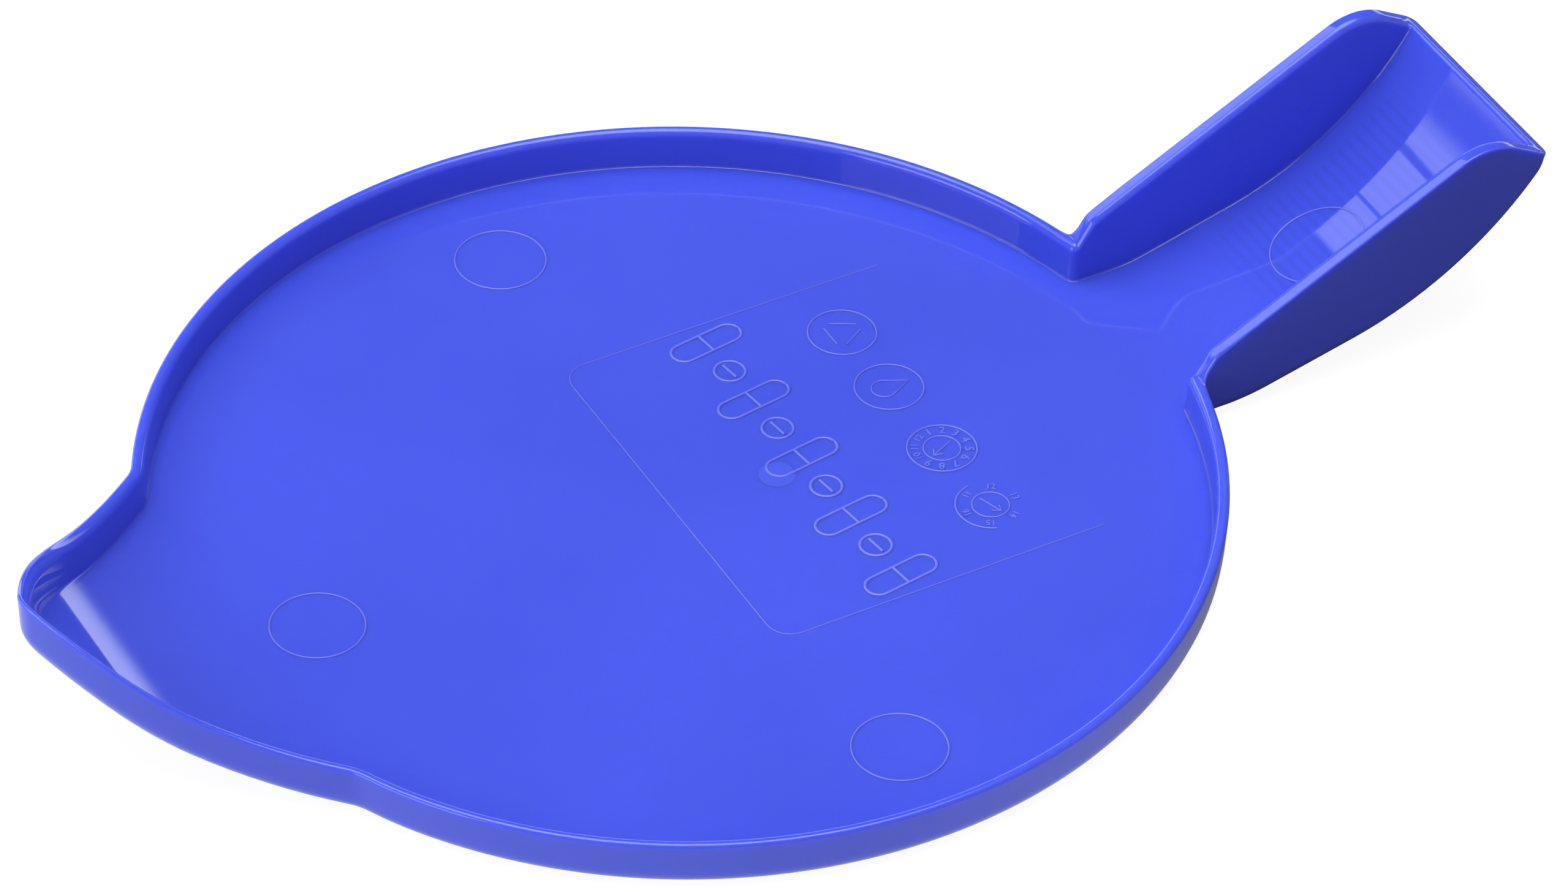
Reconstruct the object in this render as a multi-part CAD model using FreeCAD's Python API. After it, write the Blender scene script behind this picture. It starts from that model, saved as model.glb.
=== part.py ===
import FreeCAD, Part
import math
import os

# Pill counting tray: a round dish with a low rim, a pointed pouring spout that ramps up on one
# side, and a trough-shaped handle between two tall cheeks on the other. Millimetres.
# Origin: centre of the dish on its underside. +X runs to the handle, -X to the spout, +Z up.
# The real tray is one moulding. Its natural regions are the nodes, and they meet face to face.

# --- driving dimensions -----------------------------------------------------------------------
DISH_RADIUS = 92.5            # outside of the rim
WALL = 2.2                    # rim and spout walls
FLOOR = 2.2                   # floor, spout ramp and handle channel
RIM_RISE = 7.4                # rim top above the floor
UNDER_EDGE_RADIUS = 3.6       # rounding where the outer walls turn into the underside

SPOUT_REACH = 28.7            # from the dish's outside to the spout's outermost point
SPOUT_TIP_RADIUS = 6.0        # plan radius at the point
SPOUT_SIDE_RADIUS = 63.0      # plan radius of the bulging sides next to the point
SPOUT_TIP_ANGLE = 65.0        # heading where the point's arc hands over to the side's arc
SPOUT_SIDE_ANGLE = 39.5       # heading of the straight part of each side
SPOUT_BLEND_RADIUS = 9.0      # concave corner between a spout side and the dish
RAMP_LEAD = 16.0              # how far inside the dish its floor begins to rise to the spout
RAMP_RADIUS = 55.0            # radius of the rising stretch
RAMP_ANGLE = 38.3             # slope at the point

HANDLE_HALF_WIDTH = 22.0      # outside of the cheeks
CHEEK = 3.0                   # cheek thickness
HANDLE_BEND_LEAD = 6.85       # from the dish's outside to where the channel floor turns up
HANDLE_BEND_RADIUS = 30.0
HANDLE_SLOPE = 14.5           # degrees, straight run up to the curl
HANDLE_SLOPE_LENGTH = 17.5    # straight stretch between the two bends
HANDLE_CURL_RADIUS = 58.0     # thumb rest at the end
HANDLE_END_SLOPE = 60.5       # degrees
HANDLE_UNDER_FLARE = 3.3      # the curl's underside has a larger radius, so its end is thicker
CHEEK_FOOT_OFFSET = 2.4       # from the rim's outside to the top of the cheek's front edge
CHEEK_FOOT_RISE = 11.9        # cheek corner above the floor
CHEEK_FOOT_RADIUS = 4.0
CHEEK_SLOPE = 26.8            # degrees, long straight top edge
CHEEK_PEAK_RADIUS = 11.5
CHEEK_END_SLOPE = 29.5        # degrees, fall of the cheeks and the channel's end face
JUNCTION_RADIUS = 1.5         # corner between a cheek and the dish wall

RIB_PITCH = 2.0               # grip ribs across the handle's underside
RIB_WIDTH = 0.9
RIB_HEIGHT = 0.5
RIB_LENGTH = 30.0
RIB_LEAD = 8.0                # from the start of the curl's straight run-in to the first rib
RIB_COUNT = 24

MARK_HEIGHT = 0.15            # fine raised lines left by the mould
MARK_WIDTH = 0.35
EJECTOR_RADIUS = 8.0
EJECTOR_SIDE_Y = 70.6         # the pair beside the dish's middle
EJECTOR_SIDE_X = 2.4
EJECTOR_HANDLE_X = 126.3
ROUNDEL_RADIUS = 6.0
ROUNDEL_X = 45.8
ROUNDEL_Y = (-25.6, -9.1, 9.1, 25.6)
PANEL_X = (-2.4, 64.8)        # thin outline of the mould's plate on the floor
PANEL_HALF_WIDTH = 38.8
PANEL_CORNER_RADIUS = 4.4

# --- sizes that follow from them --------------------------------------------------------------
SPOUT_TIP_X = -DISH_RADIUS - SPOUT_REACH
RAMP_START_X = -DISH_RADIUS + RAMP_LEAD
HANDLE_BEND_X = DISH_RADIUS + HANDLE_BEND_LEAD
EJECTOR_SPOUT_X = RAMP_START_X + EJECTOR_RADIUS
INNER_HALF_WIDTH = HANDLE_HALF_WIDTH - CHEEK
MOUTH_X = math.sqrt((DISH_RADIUS - WALL) ** 2 - INNER_HALF_WIDTH ** 2)
HANDLE_TAKEOFF_X = math.sqrt(DISH_RADIUS ** 2 - HANDLE_HALF_WIDTH ** 2)
HALF_SPAN = DISH_RADIUS + 20.0
HEADROOM = 90.0
OVERRUN = 20.0
BEYOND_MAX = 400.0


def vec(x, y, z):
    return FreeCAD.Vector(x, y, z)


def heading_vector(degrees):
    """Unit vector (x, second axis) for a heading in degrees."""
    return math.cos(math.radians(degrees)), math.sin(math.radians(degrees))


# --- side profile of the floor ----------------------------------------------------------------
def floor_stretches(overrun, flare):
    """Start point, heading and stretches of the floor's side profile, from spout to handle."""
    ramp_dx, ramp_dz = heading_vector(-RAMP_ANGLE)
    arc_x = RAMP_START_X - RAMP_RADIUS * math.sin(math.radians(RAMP_ANGLE))
    arc_z = RAMP_RADIUS * (1.0 - math.cos(math.radians(RAMP_ANGLE)))
    ramp_run = (arc_x - SPOUT_TIP_X) / ramp_dx + overrun
    start = (arc_x - ramp_dx * ramp_run, arc_z - ramp_dz * ramp_run)
    bend_tangent = HANDLE_BEND_RADIUS * math.tan(math.radians(HANDLE_SLOPE / 2.0))
    stretches = [
        ("line", ramp_run),
        ("arc", RAMP_RADIUS, RAMP_ANGLE),
        ("line", HANDLE_BEND_X - bend_tangent - RAMP_START_X),
        ("arc", HANDLE_BEND_RADIUS, HANDLE_SLOPE),
        ("line", HANDLE_SLOPE_LENGTH),
        ("arc", HANDLE_CURL_RADIUS + flare, HANDLE_END_SLOPE - HANDLE_SLOPE),
        ("line", overrun),
    ]
    return start, -RAMP_ANGLE, [s for s in stretches if s[1] > 1e-9]


def profile_edges(lift, overrun, raise_by=0.0, flare=0.0):
    """Edges of the floor profile set off along its normal by lift, then raised by raise_by."""
    (x, z), heading, stretches = floor_stretches(overrun, flare)
    edges = []
    for stretch in stretches:
        dx, dz = heading_vector(heading)
        start = vec(x - dz * lift, 0, FLOOR + z + dx * lift + raise_by)
        if stretch[0] == "line":
            x += dx * stretch[1]
            z += dz * stretch[1]
            end = vec(x - dz * lift, 0, FLOOR + z + dx * lift + raise_by)
            edges.append(Part.LineSegment(start, end).toShape())
            continue
        radius, turn = stretch[1], stretch[2]
        cx, cz = x - dz * radius, z + dx * radius
        points = [start]
        for share in (0.5, 1.0):
            hx, hz = heading_vector(heading + turn * share)
            x, z = cx + hz * radius, cz - hx * radius
            points.append(vec(x - hz * lift, 0, FLOOR + z + hx * lift + raise_by))
        heading += turn
        edges.append(Part.Arc(*points).toShape())
    return edges


def underside_edges(drop, overrun):
    """Edges of the underside's profile, or of a line drop mm below it."""
    return profile_edges(-FLOOR - drop, overrun, flare=HANDLE_UNDER_FLARE)


def underside_point(distance):
    """Point and heading on the underside, distance mm past the handle's lower bend."""
    run_in, curl = underside_edges(0.0, 0.0)[-2:]
    if distance <= run_in.Length:
        edge, along = run_in, distance
    else:
        edge, along = curl, distance - run_in.Length
    parameter = edge.getParameterByLength(along)
    return edge.valueAt(parameter), edge.tangentAt(parameter)


def level_edges(z):
    """One long level line of the side profile."""
    return [Part.LineSegment(vec(-BEYOND_MAX, 0, z), vec(BEYOND_MAX, 0, z)).toShape()]


def slab(lower, upper):
    """Solid between two chains of side-profile edges, as wide as the tray and more."""
    first = Part.LineSegment(lower[0].Vertexes[0].Point, upper[0].Vertexes[0].Point).toShape()
    last = Part.LineSegment(lower[-1].Vertexes[-1].Point, upper[-1].Vertexes[-1].Point).toShape()
    face = Part.Face(Part.Wire(lower + [last] + upper[::-1] + [first]))
    face.translate(vec(0, -HALF_SPAN, 0))
    return face.extrude(vec(0, 2 * HALF_SPAN, 0))


# --- plan outline -----------------------------------------------------------------------------
def circle_point(centre, radius, degrees):
    dx, dy = heading_vector(degrees)
    return vec(centre[0] + radius * dx, centre[1] + radius * dy, 0)


def plan_half(inset, half_width, handle_end):
    """Edges of the +Y half of the plan outline, set in by inset, from the spout to the handle."""
    tip_centre = (SPOUT_TIP_X + SPOUT_TIP_RADIUS, 0.0)
    tip_normal = heading_vector(SPOUT_TIP_ANGLE + 90.0)
    reach = SPOUT_SIDE_RADIUS - SPOUT_TIP_RADIUS
    side_centre = (tip_centre[0] - reach * tip_normal[0], tip_centre[1] - reach * tip_normal[1])
    line_dir = heading_vector(SPOUT_SIDE_ANGLE)
    line_normal = heading_vector(SPOUT_SIDE_ANGLE + 90.0)
    off_line = (side_centre[0] * line_normal[0] + side_centre[1] * line_normal[1]
                + SPOUT_SIDE_RADIUS + SPOUT_BLEND_RADIUS)
    along = -math.sqrt((DISH_RADIUS + SPOUT_BLEND_RADIUS) ** 2 - off_line ** 2)
    blend_centre = (off_line * line_normal[0] + along * line_dir[0],
                    off_line * line_normal[1] + along * line_dir[1])
    blend_angle = math.degrees(math.atan2(blend_centre[1], blend_centre[0]))
    blend_radius = SPOUT_BLEND_RADIUS + inset
    dish_radius = DISH_RADIUS - inset
    corner_y = half_width + JUNCTION_RADIUS
    corner_x = math.sqrt((dish_radius + JUNCTION_RADIUS) ** 2 - corner_y ** 2)
    corner_angle = math.degrees(math.atan2(corner_y, corner_x))

    tip_end = SPOUT_TIP_ANGLE + 90.0
    side_end = SPOUT_SIDE_ANGLE + 90.0
    arcs = [
        (tip_centre, SPOUT_TIP_RADIUS - inset, 180.0, tip_end),
        (side_centre, SPOUT_SIDE_RADIUS - inset, tip_end, side_end),
        (blend_centre, blend_radius, side_end + 180.0, blend_angle + 180.0),
        ((0.0, 0.0), dish_radius, blend_angle, corner_angle),
        ((corner_x, corner_y), JUNCTION_RADIUS, corner_angle + 180.0, 270.0),
    ]
    edges = []
    cursor = None
    for centre, radius, start, end in arcs:
        points = [circle_point(centre, radius, a) for a in (start, (start + end) / 2.0, end)]
        if cursor is not None and (points[0] - cursor).Length > 1e-6:
            edges.append(Part.LineSegment(cursor, points[0]).toShape())
        edges.append(Part.Arc(*points).toShape())
        cursor = points[-1]
    edges.append(Part.LineSegment(cursor, vec(handle_end, half_width, 0)).toShape())
    return edges


def plan_prism(inset, half_width, handle_end):
    """Vertical prism of the whole plan outline."""
    half = plan_half(inset, half_width, handle_end)
    other = [edge.mirror(vec(0, 0, 0), vec(0, 1, 0)) for edge in half]
    cap = Part.LineSegment(vec(handle_end, half_width, 0), vec(handle_end, -half_width, 0)).toShape()
    outline = Part.Face(Part.Wire(half + [cap] + other[::-1]))
    prism = outline.extrude(vec(0, 0, 2 * HEADROOM))
    prism.translate(vec(0, 0, -HEADROOM))
    return prism


# --- top edge of the walls and cheeks ----------------------------------------------------------
def corner_fillet(before, corner, after, radius):
    """Tangent points and middle of the arc that rounds the corner of a path in the XZ plane."""
    back = (before - corner).normalize()
    ahead = (after - corner).normalize()
    half_angle = back.getAngle(ahead) / 2.0
    run = radius / math.tan(half_angle)
    bisector = (back + ahead).normalize()
    centre = corner + bisector * (radius / math.sin(half_angle))
    return corner + back * run, centre - bisector * radius, corner + ahead * run


def top_edges():
    """Edges of the walls' top line seen from the side, from beyond the spout to past the end."""
    edges = profile_edges(0.0, OVERRUN, RIM_RISE)[:2]
    rim_start = edges[-1].Vertexes[-1].Point
    crest = profile_edges(0.0, 0.0)[-1].Vertexes[-1].Point
    foot_low = vec(HANDLE_TAKEOFF_X - WALL / 4.0, 0, FLOOR + RIM_RISE)
    foot = vec(HANDLE_TAKEOFF_X + CHEEK_FOOT_OFFSET, 0, FLOOR + CHEEK_FOOT_RISE)
    rise = math.tan(math.radians(CHEEK_SLOPE))
    fall = math.tan(math.radians(CHEEK_END_SLOPE))
    peak_x = (crest.z - foot.z + fall * crest.x + rise * foot.x) / (rise + fall)
    peak = vec(peak_x, 0, foot.z + (peak_x - foot.x) * rise)
    finish = crest + vec(OVERRUN, 0, -OVERRUN * fall)
    foot_arc = corner_fillet(foot_low, foot, peak, CHEEK_FOOT_RADIUS)
    peak_arc = corner_fillet(foot, peak, finish, CHEEK_PEAK_RADIUS)
    edges.append(Part.LineSegment(rim_start, foot_low).toShape())
    edges.append(Part.LineSegment(foot_low, foot_arc[0]).toShape())
    edges.append(Part.Arc(*foot_arc).toShape())
    edges.append(Part.LineSegment(foot_arc[2], peak_arc[0]).toShape())
    edges.append(Part.Arc(*peak_arc).toShape())
    edges.append(Part.LineSegment(peak_arc[2], finish).toShape())
    return edges


# --- the moulding ------------------------------------------------------------------------------
def edges_to_round(solid):
    """Edges where a vertical wall meets the underside."""
    found = {}
    for face in solid.Faces:
        u0, u1, v0, v1 = face.ParameterRange
        normal = face.normalAt((u0 + u1) / 2.0, (v0 + v1) / 2.0)
        for edge in face.Edges:
            found.setdefault(edge.hashCode(), (edge, []))[1].append(normal.z)
    picked = []
    for edge, slopes in found.values():
        wall = [slope for slope in slopes if abs(slope) < 1e-6]
        under = [slope for slope in slopes if slope < -0.3]
        if len(wall) == 1 and len(under) == 1:
            picked.append(edge)
    return picked


def moulding():
    """The whole tray: a block between underside and top line, rounded below and hollowed out."""
    above_underside = slab(underside_edges(0.0, OVERRUN), level_edges(HEADROOM))
    below_top = slab(level_edges(-HEADROOM), top_edges())
    outline = plan_prism(0.0, HANDLE_HALF_WIDTH, BEYOND_MAX)
    block = above_underside.common(below_top).common(outline)
    rounded = block.makeFillet(UNDER_EDGE_RADIUS, edges_to_round(block))
    hollow = slab(profile_edges(0.0, OVERRUN), level_edges(HEADROOM))
    return rounded.cut(hollow.common(plan_prism(WALL, INNER_HALF_WIDTH, BEYOND_MAX)))


def region(x_range, y_range):
    """Tall block over a rectangle of the plan."""
    (x0, x1), (y0, y1) = x_range, y_range
    return Part.makeBox(x1 - x0, y1 - y0, 2 * HEADROOM, vec(x0, y0, -HEADROOM))


def moulding_regions(body):
    """Floors inside the inner outline, walls outside it, each cut where the shape changes."""
    inside = plan_prism(WALL, INNER_HALF_WIDTH, BEYOND_MAX)
    floors = body.common(inside)
    walls = body.cut(inside)
    everywhere = (-BEYOND_MAX, BEYOND_MAX)
    regions = {
        "spout_floor": floors.common(region((-BEYOND_MAX, RAMP_START_X), everywhere)),
        "dish_floor": floors.common(region((RAMP_START_X, MOUTH_X), everywhere)),
        "handle_floor": floors.common(region((MOUTH_X, BEYOND_MAX), everywhere)),
    }
    sides = {
        "left": (-BEYOND_MAX, 0.0, -HANDLE_HALF_WIDTH),
        "right": (BEYOND_MAX, 0.0, HANDLE_HALF_WIDTH),
    }
    for side, (far, middle, cheek_face) in sides.items():
        half = tuple(sorted((far, middle)))
        beside = tuple(sorted((far, cheek_face)))
        behind = tuple(sorted((middle, cheek_face)))
        regions["spout_wall_" + side] = walls.common(region((-BEYOND_MAX, RAMP_START_X), half))
        regions["rim_wall_" + side] = walls.common(region((RAMP_START_X, BEYOND_MAX), beside))
        regions["handle_cheek_" + side] = walls.common(region((0.0, BEYOND_MAX), behind))
    return regions


def grip_ribs():
    """Ribs across the underside of the handle's curl, one solid each."""
    skin = slab(underside_edges(RIB_HEIGHT, 0.0), underside_edges(0.0, 0.0))
    ribs = []
    for i in range(RIB_COUNT):
        foot, tangent = underside_point(RIB_LEAD + i * RIB_PITCH)
        bar = Part.makeBox(RIB_WIDTH, RIB_LENGTH, 4 * RIB_HEIGHT,
                           vec(-RIB_WIDTH / 2.0, -RIB_LENGTH / 2.0, -2 * RIB_HEIGHT))
        bar.rotate(vec(0, 0, 0), vec(0, 1, 0), -math.degrees(math.atan2(tangent.z, tangent.x)))
        bar.translate(foot)
        ribs += bar.common(skin).Solids
    return Part.makeCompound(ribs)


# --- fine lines left by the mould ---------------------------------------------------------------
def mark_skin():
    """Thin layer on the floor, as high as the lines are."""
    return slab(profile_edges(0.0, 0.0), profile_edges(MARK_HEIGHT, 0.0))


def ring_marks(places, radius):
    """Round lines on the floor, one solid each."""
    skin = mark_skin()
    rings = []
    for x, y in places:
        foot = vec(x, y, -HEADROOM)
        outer = Part.makeCylinder(radius + MARK_WIDTH / 2.0, 2 * HEADROOM, foot)
        inner = Part.makeCylinder(radius - MARK_WIDTH / 2.0, 2 * HEADROOM, foot)
        rings += outer.cut(inner).common(skin).Solids
    return Part.makeCompound(rings)


def rounded_plate(grow):
    """Block with rounded corners over the mould plate's outline."""
    (x0, x1), half = PANEL_X, PANEL_HALF_WIDTH
    plate = Part.makeBox(x1 - x0 + 2 * grow, 2 * (half + grow), 2 * MARK_HEIGHT,
                         vec(x0 - grow, -half - grow, FLOOR - MARK_HEIGHT))
    corners = [e for e in plate.Edges if abs(e.Vertexes[0].Z - e.Vertexes[1].Z) > MARK_HEIGHT]
    return plate.makeFillet(PANEL_CORNER_RADIUS + grow, corners)


def panel_outline():
    """Three sides of the plate's outline; the side towards the handle leaves no line."""
    band = rounded_plate(MARK_WIDTH / 2.0).cut(rounded_plate(-MARK_WIDTH / 2.0))
    open_side = PANEL_X[1] - PANEL_CORNER_RADIUS
    line = band.common(region((-BEYOND_MAX, open_side), (-HALF_SPAN, HALF_SPAN)))
    return line.common(mark_skin())


def main():
    nodes = moulding_regions(moulding())
    nodes["grip_ribs"] = grip_ribs()
    nodes["ejector_rings"] = ring_marks([
        (EJECTOR_SIDE_X, -EJECTOR_SIDE_Y),
        (EJECTOR_SIDE_X, EJECTOR_SIDE_Y),
        (EJECTOR_SPOUT_X, 0.0),
        (EJECTOR_HANDLE_X, 0.0),
    ], EJECTOR_RADIUS)
    nodes["date_roundels"] = ring_marks([(ROUNDEL_X, y) for y in ROUNDEL_Y], ROUNDEL_RADIUS)
    nodes["panel_outline"] = panel_outline()

    os.makedirs("parts", exist_ok=True)
    for name, shape in nodes.items():
        shape.exportStep("parts/" + name + ".step")
        print(name, "solids", len(shape.Solids), "volume", round(shape.Volume, 1), shape.isValid())


main()
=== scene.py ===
"""Looks of a pill counting tray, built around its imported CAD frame.

The tray is one glossy moulding: a round dish, a pouring spout and a trough-shaped handle. It is
made here as one closed skin with drafted walls and rounded edges, with the fine raised lines of its
mould on the floor and the grip ribs under its handle. Metres, in the frame's own axes: +X to the
handle.
"""

import logging
import math
from dataclasses import dataclass, field
from enum import Enum, IntEnum

import bmesh
import bpy
from mathutils import Matrix, Vector

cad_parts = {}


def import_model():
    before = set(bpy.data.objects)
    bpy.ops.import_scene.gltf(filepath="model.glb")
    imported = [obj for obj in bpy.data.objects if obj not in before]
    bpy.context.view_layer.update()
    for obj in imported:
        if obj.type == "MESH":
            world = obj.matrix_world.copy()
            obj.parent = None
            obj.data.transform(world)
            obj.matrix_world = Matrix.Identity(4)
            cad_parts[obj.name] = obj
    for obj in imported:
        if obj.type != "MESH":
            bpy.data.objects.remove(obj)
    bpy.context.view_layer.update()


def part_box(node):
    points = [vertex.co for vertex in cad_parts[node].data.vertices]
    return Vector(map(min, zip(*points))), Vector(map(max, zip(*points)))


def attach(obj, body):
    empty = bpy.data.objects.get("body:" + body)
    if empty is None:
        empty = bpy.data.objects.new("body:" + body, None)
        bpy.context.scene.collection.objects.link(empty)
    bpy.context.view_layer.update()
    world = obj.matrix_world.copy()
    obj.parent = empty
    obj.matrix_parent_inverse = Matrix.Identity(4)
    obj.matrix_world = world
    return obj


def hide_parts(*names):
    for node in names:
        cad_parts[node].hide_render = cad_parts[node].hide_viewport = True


MM = 0.001
BODY = "root"
MERGE = 0.0005 * MM
NUMBER_MERGE = 0.001 * MM

logging.basicConfig(level=logging.INFO, format="%(levelname)s %(message)s")
log = logging.getLogger("tray")


# --- sizes --------------------------------------------------------------------------------------
@dataclass(frozen=True)
class TraySizes:
    """Driving sizes of the moulding, in metres and degrees."""

    spout_tip_x: float
    ramp_start_x: float
    half_width: float
    floor: float
    dish_radius: float = 92.5 * MM
    wall: float = 2.2 * MM
    cheek: float = 3.0 * MM
    rim_rise: float = 7.4 * MM
    tip_radius: float = 6.0 * MM
    side_radius: float = 63.0 * MM
    tip_heading: float = 65.0
    side_heading: float = 39.5
    blend_radius: float = 9.0 * MM
    ramp_radius: float = 55.0 * MM
    ramp_angle: float = 38.3
    bend_x: float = 99.35 * MM
    bend_radius: float = 30.0 * MM
    slope: float = 14.5
    slope_length: float = 17.5 * MM
    curl_radius: float = 58.0 * MM
    end_slope: float = 60.5
    under_flare: float = 3.3 * MM
    foot_offset: float = 2.4 * MM
    foot_rise: float = 11.9 * MM
    foot_radius: float = 4.0 * MM
    cheek_slope: float = 26.8
    peak_radius: float = 11.5 * MM
    fall_slope: float = 29.5
    junction_radius: float = 1.5 * MM

    @classmethod
    def from_frame(cls) -> "TraySizes":
        """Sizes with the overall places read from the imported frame.

        Returns:
            The sizes.
        """
        return cls(
            spout_tip_x=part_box("spout_wall_left")[0].x,
            ramp_start_x=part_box("spout_floor")[1].x,
            half_width=-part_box("handle_cheek_left")[0].y,
            floor=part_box("dish_floor")[1].z,
        )

    @property
    def takeoff_x(self) -> float:
        """Where the cheeks' outer faces leave the dish."""
        return math.sqrt(self.dish_radius ** 2 - self.half_width ** 2)


@dataclass(frozen=True)
class EdgeSizes:
    """Rounded edges, draft and the extra rings that keep the shading of flat faces flat."""

    under_radius: float = 3.6 * MM
    under_radius_end: float = 1.3 * MM
    under_taper_from: float = 100.0 * MM
    rim_radius: float = 0.75 * MM
    cheek_radius: float = 0.35 * MM
    top_radius_inner: float = 1.4 * MM
    floor_radius: float = 0.45 * MM
    draft: float = 0.22 * MM
    hold: float = 0.3 * MM
    end_corner: float = 2.0 * MM
    inner_end_corner: float = 1.2 * MM
    end_trim: float = 0.5 * MM
    crest_blend: float = 1.1 * MM
    smallest_corner: float = 0.05 * MM
    cheek_edge_share: float = 0.12


# --- side profiles ------------------------------------------------------------------------------
@dataclass(frozen=True)
class Span:
    """A stretch of a side profile.

    It is straight where radius is 0, through (x, z) with that slope. Otherwise (x, z) is a circle's
    centre, and the stretch is its lower side, or its upper side where radius is negative.
    """

    x_end: float
    x: float
    z: float
    slope: float
    radius: float


@dataclass
class SideProfile:
    """Height along the tray of a chain of straight and round stretches."""

    spans: list[Span] = field(default_factory=list)

    def height(self, x: float) -> float:
        """Height of the profile.

        Args:
            x: Place along the tray.

        Returns:
            The height.
        """
        span = next((s for s in self.spans if x <= s.x_end), self.spans[-1])
        if span.radius == 0.0:
            return span.z + span.slope * (x - span.x)
        rise = math.sqrt(max(span.radius ** 2 - (x - span.x) ** 2, 0.0))
        return span.z - math.copysign(rise, span.radius)

    def walk(self, x: float, length: float, steps: int) -> list[Vector]:
        """Points spaced evenly along the profile.

        Args:
            x: Where the first point is.
            length: Distance along the profile from the first point to the last.
            steps: Number of intervals.

        Returns:
            Points (x, 0, z).
        """
        points = [Vector((x, 0.0, self.height(x)))]
        nudge = 0.01 * MM
        for _ in range(steps):
            slope = (self.height(x + nudge) - self.height(x)) / nudge
            x += length / steps / math.hypot(1.0, slope)
            points.append(Vector((x, 0.0, self.height(x))))
        return points

    @classmethod
    def floor_line(cls, s: TraySizes, lift: float = 0.0, raised: float = 0.0,
                   flare: float = 0.0) -> "SideProfile":
        """The floor's profile set off along its normal.

        Args:
            s: The tray's sizes.
            lift: Distance along the normal, upwards.
            raised: Distance straight up, added after that.
            flare: Added to the radius of the handle's curl.

        Returns:
            The profile, open ended at both ends.
        """
        made = cls()
        heading = -math.radians(s.ramp_angle)
        x = s.ramp_start_x + s.ramp_radius * math.sin(heading)
        z = s.floor + s.ramp_radius * (1.0 - math.cos(heading)) + raised
        tangent = s.bend_radius * math.tan(math.radians(s.slope) / 2.0)
        moves = [
            (0.0, 0.0),
            (s.ramp_radius, s.ramp_angle),
            (0.0, s.bend_x - tangent - s.ramp_start_x),
            (s.bend_radius, s.slope),
            (0.0, s.slope_length),
            (s.curl_radius + flare, s.end_slope - s.slope),
            (0.0, s.curl_radius),
        ]
        for radius, amount in moves:
            lifted_x = x - math.sin(heading) * lift
            lifted_z = z + math.cos(heading) * lift
            if radius == 0.0:
                x += math.cos(heading) * amount
                z += math.sin(heading) * amount
                x_end = x - math.sin(heading) * lift
                made.spans.append(Span(x_end, lifted_x, lifted_z, math.tan(heading), 0.0))
                continue
            centre_x = x - math.sin(heading) * radius
            centre_z = z + math.cos(heading) * radius
            heading += math.radians(amount)
            x = centre_x + math.sin(heading) * radius
            z = centre_z - math.cos(heading) * radius
            x_end = centre_x + math.sin(heading) * (radius - lift)
            made.spans.append(Span(x_end, centre_x, centre_z, 0.0, radius - lift))
        return made

    def add_path(self, corners: list[tuple[Vector, float]]) -> None:
        """Adds straight runs between corners, each rounded over its top by a radius.

        Args:
            corners: Points (x, z) with the radius of each; the first and last have none.
        """
        for i in range(1, len(corners)):
            before = corners[i - 1][0]
            corner, radius = corners[i]
            run = corner - before
            slope = run.y / run.x
            if radius == 0.0:
                self.spans.append(Span(corner.x, corner.x, corner.y, slope, 0.0))
                continue
            back = (before - corner).normalized()
            ahead = (corners[i + 1][0] - corner).normalized()
            half = back.angle(ahead) / 2.0
            centre = corner + (back + ahead).normalized() * (radius / math.sin(half))
            reach = radius / math.tan(half)
            self.spans.append(Span(corner.x + back.x * reach, corner.x, corner.y, slope, 0.0))
            self.spans.append(Span(corner.x + ahead.x * reach, centre.x, centre.y, 0.0, -radius))


@dataclass
class TrayProfiles:
    """The three heights that every section of the tray is made from."""

    sizes: TraySizes
    floor: SideProfile = field(init=False)
    underside: SideProfile = field(init=False)
    top: SideProfile = field(init=False)
    crest: Vector = field(init=False)

    HALVINGS = 60

    def __post_init__(self) -> None:
        """Works out the profiles and the crest, where the channel's floor meets its end face."""
        s = self.sizes
        self.floor = SideProfile.floor_line(s)
        self.underside = SideProfile.floor_line(s, lift=-s.floor, flare=s.under_flare)
        crest_x = self.floor.spans[-2].x_end
        self.crest = Vector((crest_x, self.floor.height(crest_x)))
        rise = math.tan(math.radians(s.cheek_slope))
        fall = math.tan(math.radians(s.fall_slope))
        rim_top = s.floor + s.rim_rise
        foot_low = Vector((s.takeoff_x - s.wall / 4.0, rim_top))
        foot = Vector((s.takeoff_x + s.foot_offset, s.floor + s.foot_rise))
        peak_x = (self.crest.y - foot.y + fall * self.crest.x + rise * foot.x) / (rise + fall)
        peak = Vector((peak_x, foot.y + (peak_x - foot.x) * rise))
        finish = self.crest + Vector((s.curl_radius, -s.curl_radius * fall))
        self.top = SideProfile(SideProfile.floor_line(s, raised=s.rim_rise).spans[:2])
        self.top.add_path([
            (Vector((s.ramp_start_x, rim_top)), 0.0),
            (foot_low, 0.0),
            (foot, s.foot_radius),
            (peak, s.peak_radius),
            (finish, 0.0),
        ])

    def end_x(self) -> float:
        """Where the underside meets the handle's end face.

        Returns:
            That place along the tray.
        """
        low, high = self.crest.x, self.crest.x + self.sizes.half_width
        for _ in range(self.HALVINGS):
            middle = (low + high) / 2.0
            if self.top.height(middle) > self.underside.height(middle):
                low = middle
            else:
                high = middle
        return low


# --- plan outline -------------------------------------------------------------------------------
class Stretch(IntEnum):
    """Stretches of the outline: the arcs in their order, then the straight runs and the end."""

    TIP = 0
    SIDE = 1
    BLEND = 2
    DISH = 3
    JUNCTION = 4
    SPOUT_LINE = 5
    HANDLE = 6
    END_CORNER = 7


Station = tuple[Stretch, float]


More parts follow.
